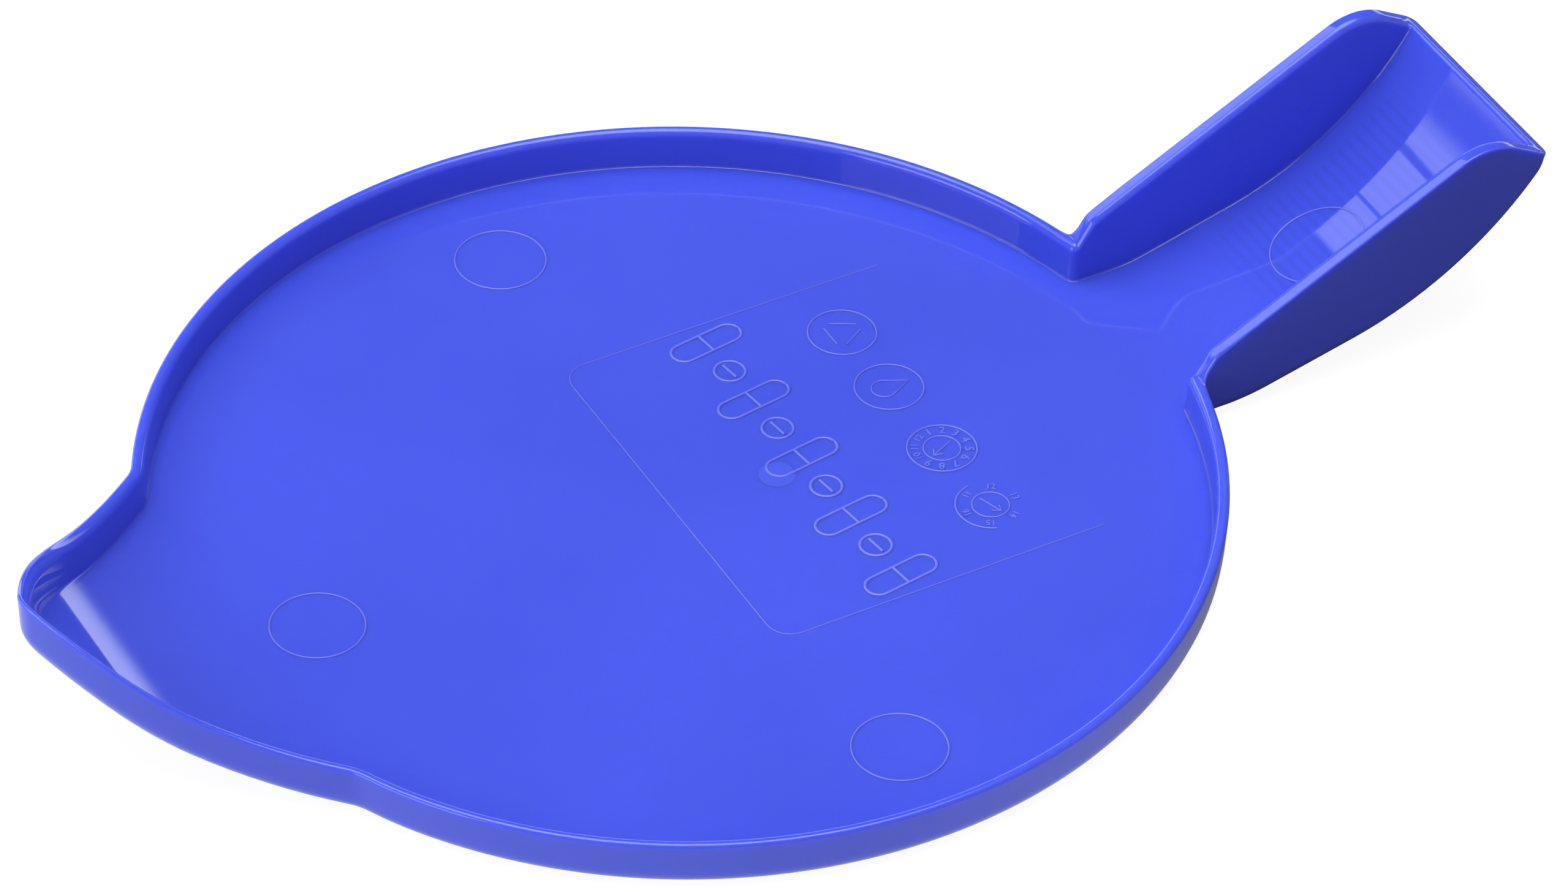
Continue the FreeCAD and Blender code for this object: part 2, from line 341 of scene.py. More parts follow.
@dataclass(frozen=True)
class OutlineArc:
    """A round stretch of the plan outline; its radius changes by sense times the inset."""

    centre: Vector
    radius: float
    sense: float
    start: float
    end: float

    def point(self, share: float, inset: float) -> Vector:
        """Point of the arc.

        Args:
            share: Share of the arc's length, from its start.
            inset: How far the outline is set in.

        Returns:
            The point (x, y).
        """
        angle = math.radians(self.start + (self.end - self.start) * share)
        reach = self.radius + self.sense * inset
        return self.centre + Vector((math.cos(angle), math.sin(angle))) * reach


@dataclass
class PlanOutline:
    """The +Y half of the tray's outline from above, and of the lines set in from it."""

    sizes: TraySizes
    wall_inset: float
    half_width: float
    end_x: float
    end_corner: float
    arcs: list[OutlineArc] = field(init=False)

    ARC_STEPS = (6, 14, 8, 96, 8)
    SPOUT_LINE_STEPS = 8
    CORNER_STEPS = 6
    HANDLE_STEPS = (18, 20, 34, 12)
    FOOT_RUN = 6 * MM
    PEAK_PLACES = (137 * MM, 152 * MM)

    def __post_init__(self) -> None:
        """Works out the arcs, from the spout's tip to the corner between dish and handle."""
        s = self.sizes
        tip = Vector((s.spout_tip_x + s.tip_radius, 0.0))
        tip_end = s.tip_heading + 90.0
        side_end = s.side_heading + 90.0
        side = tip - self.unit(tip_end) * (s.side_radius - s.tip_radius)
        off_line = side.dot(self.unit(side_end)) + s.side_radius + s.blend_radius
        along = -math.sqrt((s.dish_radius + s.blend_radius) ** 2 - off_line ** 2)
        blend = self.unit(side_end) * off_line + self.unit(s.side_heading) * along
        blend_angle = math.degrees(math.atan2(blend.y, blend.x))
        corner_y = self.half_width + s.junction_radius
        reach = s.dish_radius - self.wall_inset + s.junction_radius
        corner = Vector((math.sqrt(reach ** 2 - corner_y ** 2), corner_y))
        corner_angle = math.degrees(math.atan2(corner.y, corner.x))
        inset = self.wall_inset
        self.arcs = [
            OutlineArc(tip, s.tip_radius - inset, -1.0, 180.0, tip_end),
            OutlineArc(side, s.side_radius - inset, -1.0, tip_end, side_end),
            OutlineArc(blend, s.blend_radius + inset, 1.0, side_end + 180.0, blend_angle + 180.0),
            OutlineArc(Vector((0.0, 0.0)), s.dish_radius - inset, -1.0, blend_angle, corner_angle),
            OutlineArc(corner, s.junction_radius, 1.0, corner_angle + 180.0, 270.0),
        ]

    @staticmethod
    def unit(degrees: float) -> Vector:
        """Unit vector with that heading."""
        return Vector((math.cos(math.radians(degrees)), math.sin(math.radians(degrees))))

    def handle_shares(self) -> list[float]:
        """Shares of the handle's straight run, close together where the top line bends.

        Returns:
            The shares, without those of the run's two ends.
        """
        start = self.arcs[-1].point(1.0, 0.0).x
        finish = self.end_x - self.end_corner
        stops = [start, start + self.FOOT_RUN, *self.PEAK_PLACES, finish]
        shares = []
        for x, x_next, steps in zip(stops, stops[1:], self.HANDLE_STEPS):
            shares += [(x + (x_next - x) * k / steps - start) / (finish - start)
                       for k in range(steps)]
        return shares[1:]

    def stations(self) -> list[Station]:
        """Where the outline's points are. A joined arc starts where the one before it ends.

        Returns:
            Stretch and share along it of each point.
        """
        found = []
        for arc, steps in zip(Stretch, self.ARC_STEPS):
            joined = arc in (Stretch.SIDE, Stretch.DISH, Stretch.JUNCTION)
            found += [(arc, k / steps) for k in range(1 if joined else 0, steps + 1)]
            if arc is Stretch.SIDE:
                steps = self.SPOUT_LINE_STEPS
                found += [(Stretch.SPOUT_LINE, k / steps) for k in range(1, steps)]
        found += [(Stretch.HANDLE, share) for share in self.handle_shares()]
        return found + [(Stretch.END_CORNER, k / self.CORNER_STEPS)
                        for k in range(self.CORNER_STEPS + 1)]

    def point(self, station: Station, inset: float, smallest: float) -> Vector:
        """Point of the outline set in by inset.

        Args:
            station: Stretch and share along it.
            inset: Distance inside this outline, towards the tray's middle line.
            smallest: Radius left to the end corner where the inset has used it up.

        Returns:
            The point (x, y).
        """
        stretch, share = station
        if stretch < len(self.arcs):
            return self.arcs[stretch].point(share, inset)
        if stretch is Stretch.SPOUT_LINE:
            finish = self.arcs[Stretch.BLEND].point(0.0, inset)
            return self.arcs[Stretch.SIDE].point(1.0, inset).lerp(finish, share)
        radius = max(self.end_corner - inset, smallest)
        centre = Vector((self.end_x - inset - radius, self.half_width - inset - radius))
        if stretch is Stretch.END_CORNER:
            return centre + self.unit(90.0 * (1.0 - share)) * radius
        start = self.arcs[Stretch.JUNCTION].point(1.0, inset)
        return start.lerp(centre + Vector((0.0, radius)), share)


# --- the moulding -------------------------------------------------------------------------------
class Anchor(Enum):
    """What a ring's height is measured from."""

    UNDERSIDE = "underside"
    TOP = "top"
    FLOOR = "floor"


@dataclass(frozen=True)
class Ring:
    """One closed line round the tray.

    Inset and height are a share of the local rounding plus a plain distance. A ring on the outline
    of the outer wall has outer set; the others follow the wall's inner face.
    """

    outer: bool
    anchor: Anchor
    inset_share: float
    inset: float
    height_share: float
    height: float


@dataclass
class TrayMoulding:
    """The whole tray as one closed skin of rings round it and ladders across its floor."""

    sizes: TraySizes
    edges: EdgeSizes
    profiles: TrayProfiles
    outer: PlanOutline = field(init=False)
    inner: PlanOutline = field(init=False)

    RUNGS = 44
    ROUND_STEPS = 7
    OUTER_DRAFT_SHARES = (0.9, 0.05)
    INNER_DRAFT_SHARES = (0.15, 0.85)
    ROUNDING_LIMIT = 0.4
    HOLD_LIMIT = 0.08
    NODES = ("dish_floor", "spout_floor", "handle_floor", "rim_wall_left", "rim_wall_right",
             "spout_wall_left", "spout_wall_right", "handle_cheek_left", "handle_cheek_right")

    def __post_init__(self) -> None:
        """Sets out the outer and the inner outline."""
        s, e = self.sizes, self.edges
        end_x = self.profiles.end_x() - e.end_trim
        self.outer = PlanOutline(s, 0.0, s.half_width, end_x, e.end_corner)
        self.inner = PlanOutline(s, s.wall, s.half_width - s.cheek, self.profiles.crest.x,
                                 e.inner_end_corner)

    def rings(self) -> list[Ring]:
        """Rings from the underside, up the outer wall, over the top and down to the floor.

        Returns:
            The rings in that order.
        """
        e = self.edges
        outer_low, outer_high = self.OUTER_DRAFT_SHARES
        inner_high, inner_low = self.INNER_DRAFT_SHARES
        found = [Ring(True, Anchor.UNDERSIDE, 1.0, e.draft + e.hold, 0.0, 0.0)]
        turns = [math.pi / 2.0 * k / self.ROUND_STEPS for k in range(self.ROUND_STEPS + 1)]
        for turn in turns:
            found.append(Ring(True, Anchor.UNDERSIDE, 1.0 - math.sin(turn), e.draft,
                              1.0 - math.cos(turn), 0.0))
        found.append(Ring(True, Anchor.UNDERSIDE, 0.0, outer_low * e.draft, 1.0, e.hold))
        found.append(Ring(True, Anchor.TOP, 0.0, outer_high * e.draft, 1.0, e.hold))
        for turn in turns:
            found.append(Ring(True, Anchor.TOP, 1.0 - math.cos(turn), 0.0,
                              1.0 - math.sin(turn), 0.0))
        for turn in reversed(turns):
            found.append(Ring(False, Anchor.TOP, math.cos(turn) - 1.0, 0.0,
                              1.0 - math.sin(turn), 0.0))
        found.append(Ring(False, Anchor.TOP, 0.0, inner_high * e.draft, 1.0, e.hold))
        found.append(Ring(False, Anchor.FLOOR, 0.0, inner_low * e.draft, 1.0, e.hold))
        for turn in turns:
            found.append(Ring(False, Anchor.FLOOR, 1.0 - math.cos(turn), e.draft,
                              1.0 - math.sin(turn), 0.0))
        found.append(Ring(False, Anchor.FLOOR, 1.0, e.draft + e.hold, 0.0, 0.0))
        return found

    def under_radius(self, x: float) -> float:
        """Radius of the rounding below the outer wall, which shrinks towards the handle's end.

        Args:
            x: Place along the tray.

        Returns:
            The radius.
        """
        e = self.edges
        share = (x - e.under_taper_from) / (self.outer.end_x - e.under_taper_from)
        share = min(max(share, 0.0), 1.0)
        return e.under_radius + (e.under_radius_end - e.under_radius) * share

    def top_radius(self, station: Station) -> float:
        """Radius of the outer edge of the top: round on the rim, tighter on the cheeks.

        Args:
            station: Stretch and share along it.

        Returns:
            The radius.
        """
        e, (stretch, along) = self.edges, station
        if stretch < Stretch.HANDLE:
            return e.rim_radius
        at_end = stretch is Stretch.END_CORNER
        share = 1.0 if at_end else min(along / e.cheek_edge_share, 1.0)
        return e.rim_radius + (e.cheek_radius - e.rim_radius) * share

    def floor_height(self, x: float) -> float:
        """Height of the floor, blended over the crest into the end face.

        Args:
            x: Place along the tray.

        Returns:
            The height.
        """
        floor, top = self.profiles.floor.height(x), self.profiles.top.height(x)
        blend = self.edges.crest_blend
        if abs(top - floor) >= blend:
            return min(floor, top)
        return min(floor, top) - (blend - abs(top - floor)) ** 2 / (4.0 * blend)

    def ring_point(self, ring: Ring, station: Station, crossing: float) -> Vector:
        """Place of a ring's point.

        Args:
            ring: The ring.
            station: Stretch and share along it.
            crossing: 0 along the sides, 1 across the handle's end, between them at its corner.

        Returns:
            The point (x, y, z).
        """
        e = self.edges
        outline = self.outer if ring.outer else self.inner
        radius = {
            Anchor.UNDERSIDE: self.under_radius(outline.point(station, 0.0, e.smallest_corner).x),
            Anchor.TOP: self.top_radius(station) if ring.outer else e.top_radius_inner,
            Anchor.FLOOR: e.floor_radius,
        }[ring.anchor]
        flat = outline.point(station, radius * ring.inset_share + ring.inset, e.smallest_corner)
        top = self.profiles.top.height(flat.x)
        below = self.profiles.underside if ring.outer else self.profiles.floor
        low = below.height(flat.x)
        wall = max(top - low, 0.0)
        drop = min(radius, self.ROUNDING_LIMIT * wall) * ring.height_share
        drop += min(ring.height, self.HOLD_LIMIT * wall)
        z = top - drop if ring.anchor is Anchor.TOP else low + drop
        if not ring.outer and crossing > 0.0:
            z += (self.floor_height(flat.x) - z) * crossing
        return Vector((flat.x, flat.y, z))

    def loop(self, ring: Ring, stations: list[Station]) -> list[Vector]:
        """All points of a ring, round the +Y side, across the handle's end and back.

        Args:
            ring: The ring.
            stations: Where its points are on the +Y half.

        Returns:
            The points, in order.
        """
        half = []
        for stretch, share in stations:
            crossing = share if stretch is Stretch.END_CORNER else 0.0
            half.append(self.ring_point(ring, (stretch, share), crossing))
        last = half[-1]
        across = [Vector((last.x, last.y * (1.0 - 2.0 * k / self.RUNGS), last.z))
                  for k in range(1, self.RUNGS)]
        back = [Vector((p.x, -p.y, p.z)) for p in reversed(half[1:])]
        return half + across + back

    def ladder(self, mesh: bmesh.types.BMesh, rim: list[bmesh.types.BMVert], count: int,
               upper: bool) -> None:
        """Fills a ring with rungs across the tray.

        Args:
            mesh: The mesh to add to.
            rim: The ring's vertices, in the order of loop().
            count: Points of the ring on its +Y half.
            upper: True for the floor, False for the underside.
        """
        height = self.profiles.floor.height if upper else self.profiles.underside.height
        previous = [rim[0]] * (self.RUNGS + 1)
        for i in range(1, count):
            left, right = rim[i], rim[-i]
            if i == count - 1:
                row = rim[i:i + self.RUNGS + 1]
            else:
                row = [left]
                for k in range(1, self.RUNGS):
                    y = left.co.y * (1.0 - 2.0 * k / self.RUNGS)
                    row.append(mesh.verts.new((left.co.x, y, height(left.co.x))))
                row.append(right)
            for k in range(self.RUNGS):
                corners = [previous[k], previous[k + 1], row[k + 1], row[k]]
                if i == 1:
                    corners = corners[1:]
                mesh.faces.new(corners if upper else corners[::-1])
            previous = row

    def build(self) -> bpy.types.Object:
        """Makes the moulding's mesh.

        Returns:
            The new object, standing for the nine CAD regions of the moulding.
        """
        mesh = bmesh.new()
        stations = {True: self.outer.stations(), False: self.inner.stations()}
        loops = [[mesh.verts.new(p) for p in self.loop(ring, stations[ring.outer])]
                 for ring in self.rings()]
        for lower, upper in zip(loops, loops[1:]):
            for i in range(len(lower)):
                k = (i + 1) % len(lower)
                mesh.faces.new([lower[i], upper[i], upper[k], lower[k]])
        self.ladder(mesh, loops[0], len(stations[True]), upper=False)
        self.ladder(mesh, loops[-1], len(stations[False]), upper=True)
        bmesh.ops.recalc_face_normals(mesh, faces=mesh.faces)
        piece = finish_mesh(mesh, "tray_moulding")
        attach(piece, BODY)
        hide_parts(*self.NODES)
        return piece


def finish_mesh(mesh: bmesh.types.BMesh, name: str) -> bpy.types.Object:
    """Turns a bmesh into a smooth-shaded object at the origin.

    Args:
        mesh: The finished bmesh, which is freed.
        name: Name of the piece.

    Returns:
        The object, linked to the scene.
    """
    data = bpy.data.meshes.new(name)
    mesh.to_mesh(data)
    mesh.free()
    data.polygons.foreach_set("use_smooth", [True] * len(data.polygons))
    data.update()
    piece = bpy.data.objects.new(name, data)
    bpy.context.scene.collection.objects.link(piece)
    return piece


# --- nodes --------------------------------------------------------------------------------------
@dataclass
class Nodes:
    """Short way to add and join nodes of one tree."""

    tree: bpy.types.NodeTree

    def add(self, kind: str, inputs: dict | None = None, **settings: object) -> bpy.types.Node:
        """Adds a node.

        Args:
            kind: Blender's name of the node.
            inputs: Values, or output sockets to join, by input name or number.
            settings: Properties of the node.

        Returns:
            The node.
        """
        node = self.tree.nodes.new(kind)
        for name, value in settings.items():
            setattr(node, name, value)
        for name, value in (inputs or {}).items():
            if isinstance(value, bpy.types.NodeSocket):
                self.tree.links.new(value, node.inputs[name])
            else:
                node.inputs[name].default_value = value
        return node

    def math(self, operation: str, *values: object) -> bpy.types.NodeSocket:
        """Adds a Math node on numbers or sockets and returns its output."""
        inputs = dict(enumerate(values))
        return self.add("ShaderNodeMath", inputs, operation=operation).outputs[0]

    def ramp(self, value: bpy.types.NodeSocket, low: float, high: float) -> bpy.types.NodeSocket:
        """Adds a smooth step of a value.

        Args:
            value: The value.
            low: Where the step is 0.
            high: Where it is 1, above or below low.

        Returns:
            The step's output.
        """
        node = self.add("ShaderNodeMapRange", {0: value, 1: low, 2: high},
                        interpolation_type="SMOOTHSTEP")
        return node.outputs[0]


def new_group(name: str, kind: str, inputs: list[tuple], outputs: list[tuple]) -> Nodes:
    """Makes a node group with named sockets.

    Args:
        name: Name of the group.
        kind: ShaderNodeTree or GeometryNodeTree.
        inputs: Name, socket type and default value of each input.
        outputs: Name and socket type of each output.

    Returns:
        The group's nodes, with its input node added first.
    """
    tree = bpy.data.node_groups.new(name, kind)
    for label, socket_type, value in inputs:
        socket = tree.interface.new_socket(label, in_out="INPUT", socket_type=socket_type)
        if value is not None:
            socket.default_value = value
    for label, socket_type in outputs:
        tree.interface.new_socket(label, in_out="OUTPUT", socket_type=socket_type)
    nodes = Nodes(tree)
    nodes.add("NodeGroupInput")
    return nodes


def bake(name: str, points: bpy.types.Mesh, tree: bpy.types.NodeTree,
         values: dict[str, object]) -> bpy.types.Object:
    """Runs a geometry tree once and keeps its result as a plain mesh.

    Args:
        name: Name of the piece.
        points: The mesh that the tree starts from.
        tree: The geometry tree.
        values: Values of its inputs, by name.

    Returns:
        The piece, with no modifier left on it.
    """
    source = bpy.data.objects.new(name + "_source", points)
    bpy.context.scene.collection.objects.link(source)
    modifier = source.modifiers.new("shape", "NODES")
    modifier.node_group = tree
    for item in tree.interface.items_tree:
        if item.in_out == "INPUT" and item.name in values:
            modifier[item.identifier] = values[item.name]
    made = bpy.data.meshes.new_from_object(
        source.evaluated_get(bpy.context.evaluated_depsgraph_get()))
    source.modifiers.remove(modifier)
    bpy.data.objects.remove(source)
    mesh = bmesh.new()
    mesh.from_mesh(made)
    bmesh.ops.remove_doubles(mesh, verts=mesh.verts, dist=MERGE)
    bmesh.ops.recalc_face_normals(mesh, faces=mesh.faces)
    piece = finish_mesh(mesh, name)
    for material in made.materials:
        piece.data.materials.append(material)
    bpy.data.meshes.remove(made)
    return piece


# --- finishes -----------------------------------------------------------------------------------
@dataclass(frozen=True)
class GhostBands:
    """Faint bands in the channel's floor, over the grip ribs on its other side."""

    centre_x: float
    radius: float
    pitch: float
    first_x: float
    last_x: float
    half_length: float


@dataclass(frozen=True)
class PlasticFinish:
    """One finish of the blue plastic."""

    name: str
    deep: tuple[float, float, float]
    bright: tuple[float, float, float]
    roughness: float
    scratches: float
    dust: float
    glow: float = 0.0
    bands: GhostBands | None = None

    FADE = 6.0 * MM
    IOR = 1.5
    GLOW_DEPTH = 2.4 * MM
    GLOW_SPREAD = (0.7, 0.75, 1.0)
    WAVE_FROM = -0.5
    BAND_TINT = 0.18
    BAND_SHADE = 0.6
    BAND_RELIEF = 0.35
    DUST_COLOUR = (0.42, 0.47, 0.72, 1.0)
    WORN_ROUGHNESS = 4.0
    RELIEF = 0.35
    RELIEF_DEPTH = 0.012 * MM

    def build(self, surface: "PlasticSurface") -> bpy.types.Material:
        """Makes the material.

        Args:
            surface: The shader groups that every finish shares.

        Returns:
            The material.
        """
        material = bpy.data.materials.new(self.name)
        material.use_nodes = True
        nodes = Nodes(material.node_tree)
        shader = material.node_tree.nodes["Principled BSDF"]
        shader.inputs["IOR"].default_value = self.IOR
        shader.inputs["Subsurface Weight"].default_value = self.glow
        shader.inputs["Subsurface Scale"].default_value = self.GLOW_DEPTH
        shader.inputs["Subsurface Radius"].default_value = self.GLOW_SPREAD
        place = nodes.add("ShaderNodeTexCoord").outputs["Object"]
        wear = nodes.add("ShaderNodeGroup", {"Vector": place, "Scratches": self.scratches},
                         node_tree=surface.wear)
        specks = nodes.add("ShaderNodeGroup", {"Vector": place, "Amount": self.dust},
                           node_tree=surface.dust)
        mix = nodes.add("ShaderNodeMix", {0: wear.outputs["Cloud"]}, data_type="RGBA")
        mix.inputs[6].default_value = (*self.deep, 1.0)
        mix.inputs[7].default_value = (*self.bright, 1.0)
        colour, height = mix.outputs[2], wear.outputs["Height"]
        if self.bands is not None:
            band = self.band_mask(nodes, place)
            tint = nodes.math("MULTIPLY", band, self.BAND_TINT)
            shade = nodes.add("ShaderNodeMix", {0: tint, 6: colour}, data_type="RGBA")
            shade.inputs[7].default_value = (*(self.BAND_SHADE * c for c in self.deep), 1.0)
            colour = shade.outputs[2]
            relief = nodes.math("MULTIPLY", band, self.BAND_RELIEF)
            height = nodes.math("ADD", height, relief)
        dusted = nodes.add("ShaderNodeMix", {0: specks.outputs["Mask"], 6: colour},
                           data_type="RGBA")
        dusted.inputs[7].default_value = self.DUST_COLOUR
        rough = nodes.add("ShaderNodeMapRange", {0: wear.outputs["Dullness"], 3: self.roughness,
                                                 4: self.WORN_ROUGHNESS * self.roughness})
        bump = nodes.add("ShaderNodeBump", {"Height": height, "Strength": self.RELIEF,
                                            "Distance": self.RELIEF_DEPTH})
        links = material.node_tree.links
        links.new(dusted.outputs[2], shader.inputs["Base Color"])
        links.new(rough.outputs[0], shader.inputs["Roughness"])
        links.new(bump.outputs[0], shader.inputs["Normal"])
        return material

    def band_mask(self, nodes: Nodes, place: bpy.types.NodeSocket) -> bpy.types.NodeSocket:
        """Bands at the ribs' pitch along the curl, faded out at their ends.

        Args:
            nodes: The material's nodes.
            place: Object coordinates.

        Returns:
            1 on a band, 0 off it.
        """
        b = self.bands
        axes = nodes.add("ShaderNodeSeparateXYZ", {0: place})
        sine = nodes.math("DIVIDE", nodes.math("SUBTRACT", axes.outputs[0], b.centre_x), b.radius)
        angle = nodes.math("ARCSINE", sine)
        turns = nodes.math("MULTIPLY", angle, 2.0 * math.pi * b.radius / b.pitch)
        wave = nodes.ramp(nodes.math("COSINE", turns), self.WAVE_FROM, 1.0)
        start = nodes.ramp(axes.outputs[0], b.first_x - self.FADE / 4, b.first_x + self.FADE)
        stop = nodes.ramp(axes.outputs[0], b.last_x + self.FADE / 4, b.last_x - self.FADE)
        side = nodes.ramp(nodes.math("ABSOLUTE", axes.outputs[1]), b.half_length,
                          b.half_length - self.FADE / 3)
        return nodes.math("MULTIPLY", nodes.math("MULTIPLY", wave, side),
                          nodes.math("MULTIPLY", start, stop))


@dataclass
class PlasticSurface:
    """Shader groups that every finish of the plastic uses."""

    wear: bpy.types.NodeTree = field(init=False)
    dust: bpy.types.NodeTree = field(init=False)

    HAIRS = ((0.4, (14.0, 900.0, 14.0)), (-0.9, (20.0, 1300.0, 20.0)))
    HAIR_EDGE = (0.69, 0.76)
    CLOUD_EDGE = (0.3, 0.7)
    CLOUD_DULLNESS = 0.25
    RIPPLE_HEIGHT = 0.12
    SCRATCH_DEPTH = 0.3
    SPECK_REACH = 0.016
    SPECK_COVER = 0.7

    def __post_init__(self) -> None:
        """Builds the groups once."""
        self.wear = self.build_wear()
        self.dust = self.build_dust()

    def build_wear(self) -> bpy.types.NodeTree:
        """Slow cloudiness, fine ripple of the mould's skin and hairline scratches.

        Returns:
            The group.
        """
        nodes = new_group("plastic wear", "ShaderNodeTree",
                          [("Vector", "NodeSocketVector", None),
                           ("Cloud Scale", "NodeSocketFloat", 14.0),
                           ("Ripple Scale", "NodeSocketFloat", 260.0),
                           ("Scratches", "NodeSocketFloat", 0.3)],
                          [("Cloud", "NodeSocketFloat"), ("Dullness", "NodeSocketFloat"),
                           ("Height", "NodeSocketFloat")])
        given = nodes.tree.nodes[0].outputs
        cloud = nodes.add("ShaderNodeTexNoise", {"Vector": given["Vector"], "Detail": 3.0,
                                                 "Scale": given["Cloud Scale"]})
        ripple = nodes.add("ShaderNodeTexNoise", {"Vector": given["Vector"], "Detail": 1.0,
                                                  "Scale": given["Ripple Scale"]})
        scratch = None
        for turn, stretch in self.HAIRS:
            turned = nodes.add("ShaderNodeMapping", {"Vector": given["Vector"],
                                                     "Rotation": (0.0, 0.0, turn)})
            drawn = nodes.add("ShaderNodeMapping", {"Vector": turned.outputs[0],
                                                    "Scale": stretch})
            lines = nodes.add("ShaderNodeTexNoise", {"Vector": drawn.outputs[0], "Scale": 1.0,
                                                     "Detail": 2.0})
            hairs = nodes.ramp(lines.outputs[0], *self.HAIR_EDGE)
            scratch = hairs if scratch is None else nodes.math("MAXIMUM", scratch, hairs)
        scratch = nodes.math("MULTIPLY", scratch, given["Scratches"])
        low_cloud = nodes.math("MULTIPLY", cloud.outputs[0], self.CLOUD_DULLNESS)
        dull = nodes.math("ADD", low_cloud, scratch)
        relief = nodes.math("MULTIPLY", ripple.outputs[0], self.RIPPLE_HEIGHT)
        cut = nodes.math("MULTIPLY", scratch, self.SCRATCH_DEPTH)
        height = nodes.math("SUBTRACT", relief, cut)
        nodes.add("NodeGroupOutput", {"Cloud": nodes.ramp(cloud.outputs[0], *self.CLOUD_EDGE),
                                      "Dullness": dull, "Height": height})
        return nodes.tree

    def build_dust(self) -> bpy.types.NodeTree:
        """Sparse specks of dust.

        Returns:
            The group.
        """
        nodes = new_group("dust specks", "ShaderNodeTree",
                          [("Vector", "NodeSocketVector", None),
                           ("Spacing Scale", "NodeSocketFloat", 75.0),
                           ("Amount", "NodeSocketFloat", 0.5)],
                          [("Mask", "NodeSocketFloat")])
        given = nodes.tree.nodes[0].outputs
        cells = nodes.add("ShaderNodeTexVoronoi", {"Vector": given["Vector"],
                                                   "Scale": given["Spacing Scale"],
                                                   "Randomness": 1.0})
        size = nodes.add("ShaderNodeSeparateColor", {0: cells.outputs["Color"]})
        reach = nodes.math("MULTIPLY", size.outputs[0], self.SPECK_REACH)
        near = nodes.math("LESS_THAN", cells.outputs["Distance"], reach)
        kept = nodes.math("LESS_THAN", size.outputs[1], given["Amount"])
        mask = nodes.math("MULTIPLY", nodes.math("MULTIPLY", near, kept), self.SPECK_COVER)
        nodes.add("NodeGroupOutput", {"Mask": mask})
        return nodes.tree


# --- raised lines -------------------------------------------------------------------------------
@dataclass
class Strokes:
    """Lines drawn on the tray's floor."""

    profiles: TrayProfiles
    lines: list[tuple[list[Vector], bool]] = field(default_factory=list)

    STEP = 0.35 * MM
    CAPSULE_END = 0.499
    SCORE = 0.72
    BARB = 35.0

    def path(self, points: list[Vector], closed: bool = False) -> None:
        """Adds a line through points (x, y), laid on the floor."""
        laid = [Vector((p.x, p.y, self.profiles.floor.height(p.x))) for p in points]
        self.lines.append((laid, closed))

    def arc(self, centre: Vector, radius: float, start: float = 0.0, end: float = 360.0) -> None:
        """Adds a round line; a whole circle is closed.

        Args:
            centre: Its centre (x, y).
            radius: Its radius.
            start: Heading of its first point, in degrees.
            end: Heading of its last point, in degrees.
        """
        whole = end - start >= 360.0
        steps = max(8, round(radius * math.radians(end - start) / self.STEP))
        angles = [start + (end - start) * k / steps for k in range(steps + (0 if whole else 1))]
        self.path([centre + PlanOutline.unit(a) * radius for a in angles], whole)

    def rounded(self, corners: list[Vector], radius: float, closed: bool = True) -> None:
        """Adds a line with rounded corners.

        Args:
            corners: The corners (x, y).
            radius: Radius of each rounding.
            closed: True for a closed line; an open one keeps its first and last corner.
        """
        count, points = len(corners), []
        for i, corner in enumerate(corners):
            if not closed and i in (0, count - 1):
                points.append(corner)
                continue
            back = (corners[i - 1] - corner).normalized()
            ahead = (corners[(i + 1) % count] - corner).normalized()
            half = back.angle(ahead) / 2.0
            reach = radius / math.tan(half)
            centre = corner + (back + ahead).normalized() * (radius / math.sin(half))
            first = corner + back * reach - centre
            turn = first.angle_signed(corner + ahead * reach - centre)
            steps = max(3, round(abs(turn) * radius / self.STEP))
            for k in range(steps + 1):
                points.append(centre + Matrix.Rotation(-turn * k / steps, 2) @ first)
        self.path(points, closed)

    def capsule(self, centre: Vector, length: float, width: float, degrees: float) -> None:
        """Adds a capsule's outline with the joint across its middle.

        Args:
            centre: Its centre (x, y).
            length: Its length.
            width: Its width.
            degrees: Heading of its length.
        """
        along, side = PlanOutline.unit(degrees), PlanOutline.unit(degrees + 90.0)
        ends = [centre + along * (a * length / 2.0) + side * (b * width / 2.0)
                for a, b in ((-1, -1), (1, -1), (1, 1), (-1, 1))]
        self.rounded(ends, self.CAPSULE_END * width)
        self.path([centre - side * (width / 2.0), centre + side * (width / 2.0)])

    def tablet(self, centre: Vector, radius: float, degrees: float) -> None:
        """Adds a round tablet's outline with the score across it.

        Args:
            centre: Its centre (x, y).
            radius: Its radius.
            degrees: Heading of the score.
        """
        self.arc(centre, radius)
        score = PlanOutline.unit(degrees) * (self.SCORE * radius)
        self.path([centre - score, centre + score])

    def arrow(self, centre: Vector, length: float, head: float, degrees: float) -> None:
        """Adds an arrow.

        Args:
            centre: The middle of its shaft (x, y).
            length: Length of the shaft.
            head: Length of each barb.
            degrees: Heading of the arrow.
        """
        along = PlanOutline.unit(degrees)
        tip = centre + along * (length / 2.0)
        self.path([centre - along * (length / 2.0), tip])
        barbs = [tip - PlanOutline.unit(degrees + side) * head
                 for side in (self.BARB, -self.BARB)]
        self.path([barbs[0], tip, barbs[1]])

    def mesh(self, name: str) -> bpy.types.Mesh:
        """Makes the lines loose edges.

        Args:
            name: Name of the mesh.

        Returns:
            The mesh.
        """
        points, edges = [], []
        for line, closed in self.lines:
            first = len(points)
            points += line
            edges += [(first + k, first + k + 1) for k in range(len(line) - 1)]
            if closed:
                edges.append((len(points) - 1, first))
        data = bpy.data.meshes.new(name)
        data.from_pydata(points, edges, [])
        return data


